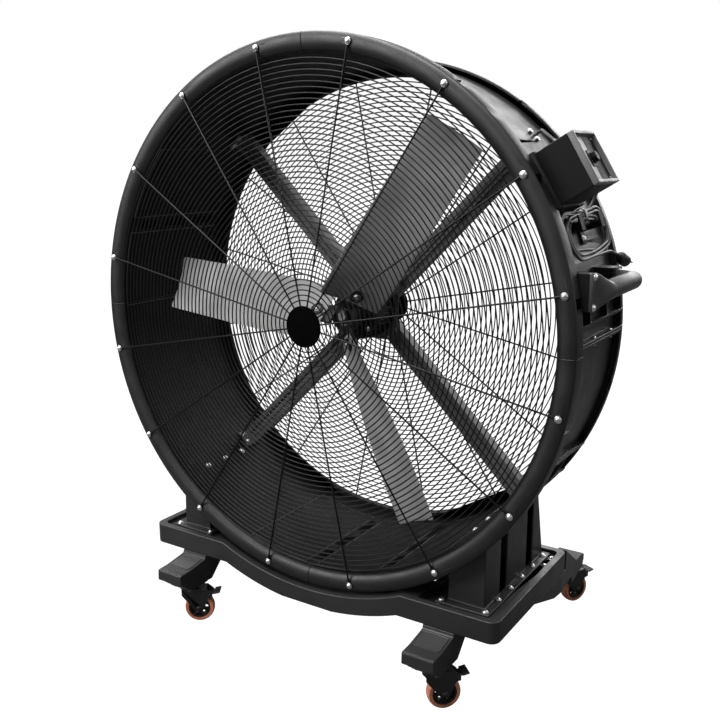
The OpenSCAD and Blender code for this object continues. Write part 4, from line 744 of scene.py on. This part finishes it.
def make_guard(name, bolt_r, rings_r, m):
    """Ring wires, spokes with their eyes, and the middle disc, with Z = 0 on the drum's face."""
    rings = Form()
    around = [2 * math.pi * k / 256 for k in range(256)]
    for i in range(1, int((rings_r - 8 - DISC_R) / WIRE_PITCH) + 1):
        r = DISC_R + WIRE_PITCH * i
        rings.tube([(r * math.cos(t), r * math.sin(t), 1.25) for t in around], 2.0, 8, m, loop=True)
    rings.make(name + "_wires", "guard_wire", "frame", [name + "_rings"], angle=80)
    star = Form()
    for a in SPOKES:
        s = m @ turn("Z", a)
        star.tube([(x, 0, -2.8) for x in (50, 56, 62, bolt_r - 12, bolt_r - 10.4)],
                  [2.2, 2.5, 2.5, 2.5, 1.9], 16, s)
        star.soft_box((bolt_r - 14, -2.4, -3.2), (bolt_r - 6.5, 2.4, -1.4), 0.4, s, 1)
        star.lathe([(5.5, -EYE_FACE), (8.6, -EYE_FACE), (9, -2.9), (9, -0.7), (8.6, -SEAT_GAP),
                    (5.5, -SEAT_GAP)], s @ move(bolt_r, 0, 0), 32, loop=True)
        for side in (-1, 1):
            weld = [(bolt_r - 26, side * 2.2, -2.1), (bolt_r - 16, side * 2.9, -1.9),
                    (bolt_r - 7, side * 5.4, -1.8)]
            star.tube(weld, [0.6, 1.3, 0.8], 8, s)
    star.make(name + "_star", "guard_wire", "frame", [name + "_frame"], angle=50)
    disc = Form()
    disc.lathe([(0, -7.3), (58, -7.3), (60.4, -7.0), (61.6, -6.2), (DISC_R, -5.4), (61.4, -4.6),
                (60, -4.3), (0, -4.3)], m, 128)
    disc.lathe([(55.8, -7.2), (56.4, -7.6), (57.2, -7.7), (58, -7.6), (58.6, -7.2)], m, 128, loop=True)
    oval = [math.pi * k / 6 for k in range(12)]
    for a in SPOKES:
        disc.loft([[(55 + 2.6 * math.cos(t), 3.4 * math.sin(t), z) for t in oval]
                   for z in (-4.4, -3.1)], m @ turn("Z", a))
    disc.make(name + "_disc", "guard_wire", "frame", mat=MAT["matt_disc"])


make_guard("front_guard", FRONT_BOLT_R, 764, at_angle(0))
make_guard("rear_guard", REAR_BOLT_R, 732, at_angle(0) @ move(0, 0, DEPTH) @ turn("X", 180))


# Fan

BLADE_ANGLES = (175, 55, -65)
BLADE_Y = 184
ROOT_R, TIP_R, CHORD, TIP_CHORD, BLADE_T, CAMBER = 60, 676, 204, 180, 7, 10
BOLT_AT, BOLT_ASIDE, BLADE_SEAT = 90, 12, 9.5


def blade_pitch(u):
    return 20 + 28 * (1 - u) ** 2


HUB_PITCH = blade_pitch((BOLT_AT - ROOT_R) / (TIP_R - ROOT_R))


def section_point(c, side, chord, thick):
    """Point on a blade's section, c from -1 at one edge to 1 at the other, side 1 or -1."""
    half = thick / 2 * math.sqrt(max(0, 1 - abs(c) ** 4))
    return (c * chord / 2, CAMBER * (0.5 - c * c) - side * half)


def blade_rows():
    """Sections from root to tip, with rounded corners in the outline and thin ends."""
    rows = []
    shares = [-math.cos(math.pi * i / 22) for i in range(23)]
    stations = [0, 0.004, 0.012, 0.024]
    stations += [0.05 + 0.9 * i / 36 for i in range(37)]
    stations += [0.965, 0.978, 0.988, 0.995, 1]
    corner = 7
    for u in stations:
        r = ROOT_R + u * (TIP_R - ROOT_R)
        near = min(r - ROOT_R, TIP_R - r)
        cut = corner - math.sqrt(corner ** 2 - (corner - near) ** 2) if near < corner else 0
        chord = CHORD + (TIP_CHORD - CHORD) * u - 2 * cut
        thick = BLADE_T * (0.35 + 0.65 * min(1, near / 5))
        pitch = math.radians(blade_pitch(u))
        ring = [section_point(c, 1, chord, thick) for c in shares]
        ring += [section_point(c, -1, chord, thick) for c in reversed(shares[1:-1])]
        c, s = math.cos(pitch), math.sin(pitch)
        rows.append([(r, x * c - y * s, x * s + y * c) for x, y in ring])
    return rows


for k, a in enumerate(BLADE_ANGLES):
    blade = Form()
    blade.loft(blade_rows(), at_angle(a) @ move(0, 0, BLADE_Y))
    blade.make("blade_%d_skin" % (k + 1), "blade", "rotor", ["fan_blade_%d" % (k + 1)], angle=60)

hub = Form()
hub.lathe([(14.1, 210), (47, 210), (49, 210.6), (50, 212), (50, 252), (49, 253.4), (47, 254),
           (14.1, 254)], at_angle(0), 96, loop=True)
hub.lathe([(26, 209.2), (43, 209.2), (44.5, 210.4), (24.5, 210.4)], at_angle(0), 96, loop=True)
washers = Form()
clamps = Form()
for a in BLADE_ANGLES:
    c = at_angle(a) @ move(0, 0, BLADE_Y) @ turn("X", HUB_PITCH) @ move(0, BOLT_ASIDE, 0)
    hub.soft_box((30, -33, BLADE_SEAT), (125, 33, BLADE_SEAT + 10), 4, c)
    hub.soft_box((40, 8, BLADE_SEAT + 8), (112, 17, BLADE_SEAT + 20), 3, c)
    at = c @ move(BOLT_AT, 0, 0)
    washers.lathe([(8.2, -6), (18.4, -6), (20.6, -5.4), (21, -4.6), (21, -1), (8.2, -1)], at, 48,
                  loop=True)
    dome_head(clamps, at @ move(0, 0, -6), 12, 7)
    shank(clamps, at, 8, -7, BLADE_SEAT + 12)
    clamps.hexagon(13, 7, at @ move(0, 0, BLADE_SEAT + 10))
nut_corners = [math.radians(60 * k) for k in range(6)]
washers.loft([[(r * math.cos(t), r * math.sin(t), z) for t in nut_corners]
              for r, z in ((20, 197.7), (22, 199), (22, 208.4), (20.4, 209.7))], at_angle(0))
washers.make("blade_washers", "hub_steel", "rotor", angle=45)
hub.make("fan_hub_skin", "hub_steel", "rotor", ["fan_hub"], angle=45)
clamps.make("blade_bolt_set", "bare_steel", "rotor", ["blade_bolts"], angle=45)


# Drum, frame and base keep their CAD shapes with rounded edges

for n in ("upper_right", "upper_left", "lower_right", "lower_left"):
    quarter = rounded("drum_quarter_" + n, 1.6).data
    quarter.materials.append(MAT["drum_inside"])
    quarter.materials.append(MAT["flange_painted_light"])
    for f in quarter.polygons:
        out = Vector((f.center.x, 0, f.center.z - AXIS * MM))
        angle = math.degrees(math.atan2(out.z, out.x))
        # Faces on the drum's inside get a darker, less glossy copy of the shell plastic: painted shade
        # for the enclosed interior.
        if out.length < 0.766 and f.normal.dot(out) < -0.3 * out.length:
            f.material_index = 1
        # The front face of the back flange, where light from the top reaches it, takes a lighter copy
        # of the plastic: painted light.
        if f.normal.y < -0.5 and f.center.y > 0.07 and out.length > 0.769 and 38 < angle < 91:
            f.material_index = 2
for n in ("base_tray", "front_leg_right", "front_leg_left", "back_leg_right", "back_leg_left",
          "pedestal_right", "pedestal_left"):
    rounded(n, 3.2, 3)

LEG_SLOPE = ((-378, 233), (-380.4, 224.6), (-386.8, 222.2), (-455.9, 210.9), (-494, 208.6))


def leg_lift(y):
    """Height of the top of a front leg at y, on its CAD outline."""
    for (y0, z0), (y1, z1) in zip(LEG_SLOPE, LEG_SLOPE[1:]):
        if y >= y1:
            return z0 + (z1 - z0) * (y - y0) / (y1 - y0)
    return LEG_SLOPE[-1][1]


PANEL_HALF_W, PANEL_HALF_L, PANEL_Y, PANEL_CORNER = 43, 34, -422, 10
# The raised panel on top of each front leg takes a lighter copy of the base plastic: painted light for
# its lit top.
for side, name in ((Matrix(), "right"), (MIRROR, "left")):
    trim = Form()
    rim = rect_row(-PANEL_HALF_W, PANEL_HALF_W, -PANEL_HALF_L, PANEL_HALF_L, PANEL_CORNER, 0)
    panel_rows = []
    for share, lift in ((1.0, -1.5), (1.0, 1.2), (0.985, 2.2), (0.95, 2.2), (0.935, 1.0)):
        row = [(CASTER_FRONT_X + x * share, PANEL_Y + y * share) for x, y, z in rim]
        panel_rows.append([(x, y, leg_lift(y) + lift) for x, y in row])
    trim.loft(panel_rows, side)
    x0, x1 = CASTER_FRONT_X - PANEL_HALF_W, CASTER_FRONT_X + PANEL_HALF_W
    ends_z, middle_z = leg_lift(-391.5) + 0.8, leg_lift(-390.5) + 1.2
    trim.tube([(x0 + 2, -391.5, ends_z), (CASTER_FRONT_X, -390.5, middle_z), (x1 - 2, -391.5, ends_z)],
              2.2, 10, side)
    trim.make("leg_panel_" + name, "base_plastic", "frame", mat=MAT["leg_top_painted_light"])
for n in ("frame_arms", "frame_plate", "motor_housing", "motor_cover", "control_bracket", "cord_hooks"):
    rounded(n, 0.9)
rounded("control_box", 2.5, 3)

# Low relief: two lines on each arm, dark strips that are painted shade for its grooves, and the panels
# on the drum's inside, with ribs painted lighter as a highlight and seam slots as dark sheets of
# painted shade.

shade_strips = Form()
for a in FRAME_ANGLES:
    for across in (-10.5, 10.5):
        shade_strips.soft_box((132, across - 1.5, ARM_Y - 0.7), (742, across + 1.5, ARM_Y + 0.2), 0.3,
                       at_angle(a), 1)
shade_strips.make("arm_groove_shade", "frame_steel", "frame", mat=MAT["drum_inside"])

INNER_R = BARREL_IN - 0.8
PANELS = ((-108.5, -91.8), (-88.4, -71.2), (-67.8, -50.8), (138.0, 157.6), (161.8, 180.6))
PANEL_FRONT, PANEL_BACK = 22, 432
edges = Form()
shade_sheets = Form()


def on_wall(angle, y, r=INNER_R):
    return at_angle(angle) @ Vector((r, 0, y))


def inner_rib(angle0, y0, angle1, y1):
    """A low moulded rib on the drum's inside, between two places on it."""
    n = max(2, round(abs(angle1 - angle0) * 1.5))
    edges.tube([on_wall(angle0 + (angle1 - angle0) * i / n, y0 + (y1 - y0) * i / n)
                for i in range(n + 1)], 1.8, 8)


for a0, a1 in PANELS:
    inner_rib(a0, PANEL_FRONT, a0, PANEL_BACK)
    inner_rib(a1, PANEL_FRONT, a1, PANEL_BACK)
    inner_rib(a0, PANEL_BACK, a1, PANEL_BACK)
    inner_rib(a0, PANEL_FRONT, a1, PANEL_FRONT)
# Dark sheets just off the inner wall: painted shade standing in for the seam slots.
for a in (-90.1, -69.5, 159.7):
    for ends in ((60, 130), (170, 262), (300, 402)):
        shade_sheets.loft([[on_wall(a - 1, y), on_wall(a + 1, y), on_wall(a + 1, y, INNER_R + 0.6),
                     on_wall(a - 1, y, INNER_R + 0.6)] for y in ends])
# The ribs take a lighter copy of the drum plastic: a painted highlight along them.
edges.make("inner_panel_ribs", "drum_shell", "frame", mat=MAT["rib_painted_highlight"])
shade_sheets.make("inner_seam_slot_shade", "drum_shell", "frame", mat=MAT["matt_disc"])

# Bolts of the base

base_bolts = Form()
for side in (Matrix(), MIRROR):
    for i in range(6):
        for x in (444, 584) if i in (0, 5) else (584,):
            flange = move(x, FRONT + 46 + 87 * i, FLANGE_TOP)
            dome_screw(base_bolts, side @ flange @ turn("X", 180), 18.3)
    for x, y in ((442, -343), (492, -343), (611, 128), (611, 66)):
        dome_screw(base_bolts, side @ move(x, y, FLOOR_Z) @ turn("X", 180), 77)
    for cx, cy in ((CASTER_FRONT_X, CASTER_FRONT_Y), (CASTER_BACK_X, CASTER_BACK_Y)):
        for dx in (-32, 32):
            for dy in (-32, 32):
                dome_screw(base_bolts, side @ move(cx + dx, cy + dy, 133.7), 23)
base_bolts.make("base_bolt_set", "bolts", "frame", ["base_bolts"])


# Casters

for c, (x, y, heading) in CASTERS.items():
    at = move(x, y, 0) @ turn("Z", heading)
    axle = at @ move(TRAIL, 0, WHEEL_R) @ turn("X", 90)
    tyre = Form()
    profile = [(37, -16), (44.2, -16)]
    for i in range(-9, 10):
        t = math.radians(7.8 * i)
        bulge = math.sin(t) / math.sin(math.radians(7.8 * 9))
        profile.append((WHEEL_R - 5.4 + 5.4 * math.cos(t), 15.8 * bulge))
    profile += [(44.2, 16), (37, 16)]
    tyre.lathe(profile, axle, 128, loop=True)
    tyre.make("tyre_" + c, "tyre", "wheel_" + c, ["caster_%s_tyre" % c], angle=50)
    rounded("caster_%s_wheel" % c, 0.8)
    rounded("caster_%s_fork" % c, 0.9)
    pedal = Form()
    hinge = at @ move(70, 0, 97)
    pedal.lathe([(3.1, -18), (6.4, -18), (7, -17.4), (7, 17.4), (6.4, 18), (3.1, 18)],
                hinge @ turn("X", 90), 40, loop=True)
    tread = hinge @ turn("Y", -12)
    pedal.soft_box((4.5, -17, 0.4), (36, 17, 5.4), 1.4, tread)
    pedal.soft_box((16, -23, 2.5), (37.5, 23, 7.4), 1.8, tread)
    for i in range(5):
        x0 = 18.4 + 3.8 * i
        pedal.soft_box((x0, -20.5, 6.4), (x0 + 2, 20.5, 8.1), 0.7, tread)
    pedal.soft_box((-2.5, -7.4, -8.5), (3.5, 7.4, -3.4), 0.8, hinge)
    pedal.make("pedal_" + c + "_skin", "caster_steel", "pedal_" + c, ["caster_%s_pedal" % c])
rounded("caster_plates", 0.9)


# Control box, knob and handles

def plate(form, x0, x1, y0, y1, z0, z1, corner, edge, m):
    """Flat plate with rounded corners and softened edges."""
    form.loft([rect_row(x0 + i, x1 - i, y0 + i, y1 - i, corner - i, z)
               for i, z in ((edge, z0), (0, z0 + edge), (0, z1 - edge), (edge, z1))], m)


box_frame = at_angle(BOX_ANGLE)
face = box_frame @ move(0, 0, BOX_MIDDLE) @ turn("Y", 90)
bezel = Form()
bezel_rows = []
for inset, r, up in ((0.6, 2.4, 0), (0, 3, 0.8), (0, 3, 14.4), (0.5, 2.6, 15.5), (1.6, 2, 16),
                     (7.4, 2, 16), (8.5, 2, 15.5), (9, 2, 14.4), (9.4, 2, 3.6), (9.9, 2, 3)):
    bezel_rows.append(rect_row(-80 + inset, 80 - inset, -72.5 + inset, 72.5 - inset, r, BEZEL_R + up))
bezel.loft(bezel_rows, face)
bezel.make("control_panel_skin", "panel", "frame", ["control_panel"], angle=40)
strip = Form()
plate(strip, 3, 69, -61, 61, 922.6, 924.2, 3, 0.4, face)
strip.make("panel_strip", "panel", "frame", mat=MAT["grey_label"])
dark = Form()
plate(dark, -69, 1, -61, 61, 922.6, 924.6, 3, 0.4, face)
plate(dark, -23, 23, -23, 23, 923, 926, 4, 0.6, face)
dark.make("panel_dark_plate", "box_plastic", "frame")
marks = Form()
for i in range(11):
    half, end = (0.35, 20.4) if i % 5 else (0.6, 21.2)
    marks.soft_box((17.5, -half, 925.6), (end, half, 926.25), 0.25, face @ turn("Z", -135 + 27 * i), 1)
marks.make("dial_marks", "panel", "frame", mat=MAT["pale_label"])
# A narrow lip that closes the gap between the box's bracket and the drum's ring
lip = Form()
lip.soft_box((777, -78, 52.5), (826, 78, 55.6), 0.8, box_frame, 2)
lip.make("bracket_lip", "bracket_steel", "frame")
screws = Form()
for x in (-63, 63):
    for y in (-55, 55):
        dome_head(screws, face @ move(x, y, 924.4) @ turn("X", 180), 3.2, 1.6)
screws.make("panel_screws", "bolts", "frame")
knob = Form()
at = face @ move(0, 0, BEZEL_R + 6 + SEAT_GAP)
KNOB_R = 15
knob_rows = []
for share, z in ((0.9, 0), (1.0, 0.8), (1.0, 3.2), (0.9, 4), (0.86, 10.6), (0.8, 11.6), (0.68, 12)):
    row = []
    for k in range(96):
        t = 2 * math.pi * k / 96
        r = KNOB_R * share - (0.55 if k % 4 < 2 and z > 3.5 else 0)
        row.append((r * math.cos(t), r * math.sin(t), z))
    knob_rows.append(row)
knob.loft(knob_rows, at)
knob.lathe([(0, -24), (3, -24), (3, 0.5), (0, 0.5)], at, 24)
knob.soft_box((3, -1.2, 11), (13.6, 1.2, 13.4), 0.6, at)
knob.make("speed_knob_skin", "box_plastic", "knob", ["speed_knob"], angle=30)


def make_handle(name, side):
    """A grip with a flared front foot and an elbow to its back foot, over the CAD handle's space."""
    h = Form()
    x, z, r = HANDLE_X, HANDLE_Z, 25
    foot_half_w, foot_half_h = HANDLE_FOOT_T / 2, 48
    foot_mid_x = HANDLE_FRONT_X + foot_half_w
    rows = []
    for i in range(17):
        u = i / 16
        s = u * u * (3 - 2 * u)
        half_w = foot_half_w + (r - foot_half_w) * s
        half_h = foot_half_h + (r - foot_half_h) * s
        cx = foot_mid_x + (x - foot_mid_x) * s
        power = 0.3 + 0.7 * s
        row = []
        for k in range(64):
            t = 2 * math.pi * k / 64
            ct, st = math.cos(t), math.sin(t)
            row.append((cx + half_w * math.copysign(abs(ct) ** power, ct), FRONT + 80 + u * 50,
                        z + half_h * math.copysign(abs(st) ** power, st)))
        rows.append(row)
    h.loft(rows, side)
    h.soft_box((HANDLE_FRONT_X, FRONT + 56, z - foot_half_h),
               (HANDLE_FRONT_X + HANDLE_FOOT_T, FRONT + 80.5, z + foot_half_h), 2.4, side)
    bar = [(0, 128.6), (r - 1.6, 128.6), (r - 0.1, 131), (r - 0.1, 134), (r - 0.9, 135.4),
           (r - 0.9, 136.6), (r - 0.1, 138)]
    bar += [(r * math.cos(math.radians(t)), 350 + r * math.sin(math.radians(t)))
            for t in range(0, 86, 8)]
    h.lathe(bar + [(0, 350 + r)], side @ move(x, FRONT, z) @ turn("X", -90), 64)
    h.lathe([(0, 0), (r, 0), (r - 0.2, 12), (r + 0.4, 30), (r + 1.6, 34.5), (r + 3.5, 37.9), (0, 37.9)],
            side @ move(x, FRONT + 350, z) @ turn("Y", -90), 64)
    h.soft_box((HANDLE_BACK_X, FRONT + 322, z - 32),
               (HANDLE_BACK_X + HANDLE_FOOT_T, FRONT + 378, z + 32), 2.4, side)
    h.make(name + "_skin", "handle_plastic", "frame", [name], angle=45)


make_handle("handle_right", Matrix())
make_handle("handle_left", MIRROR)
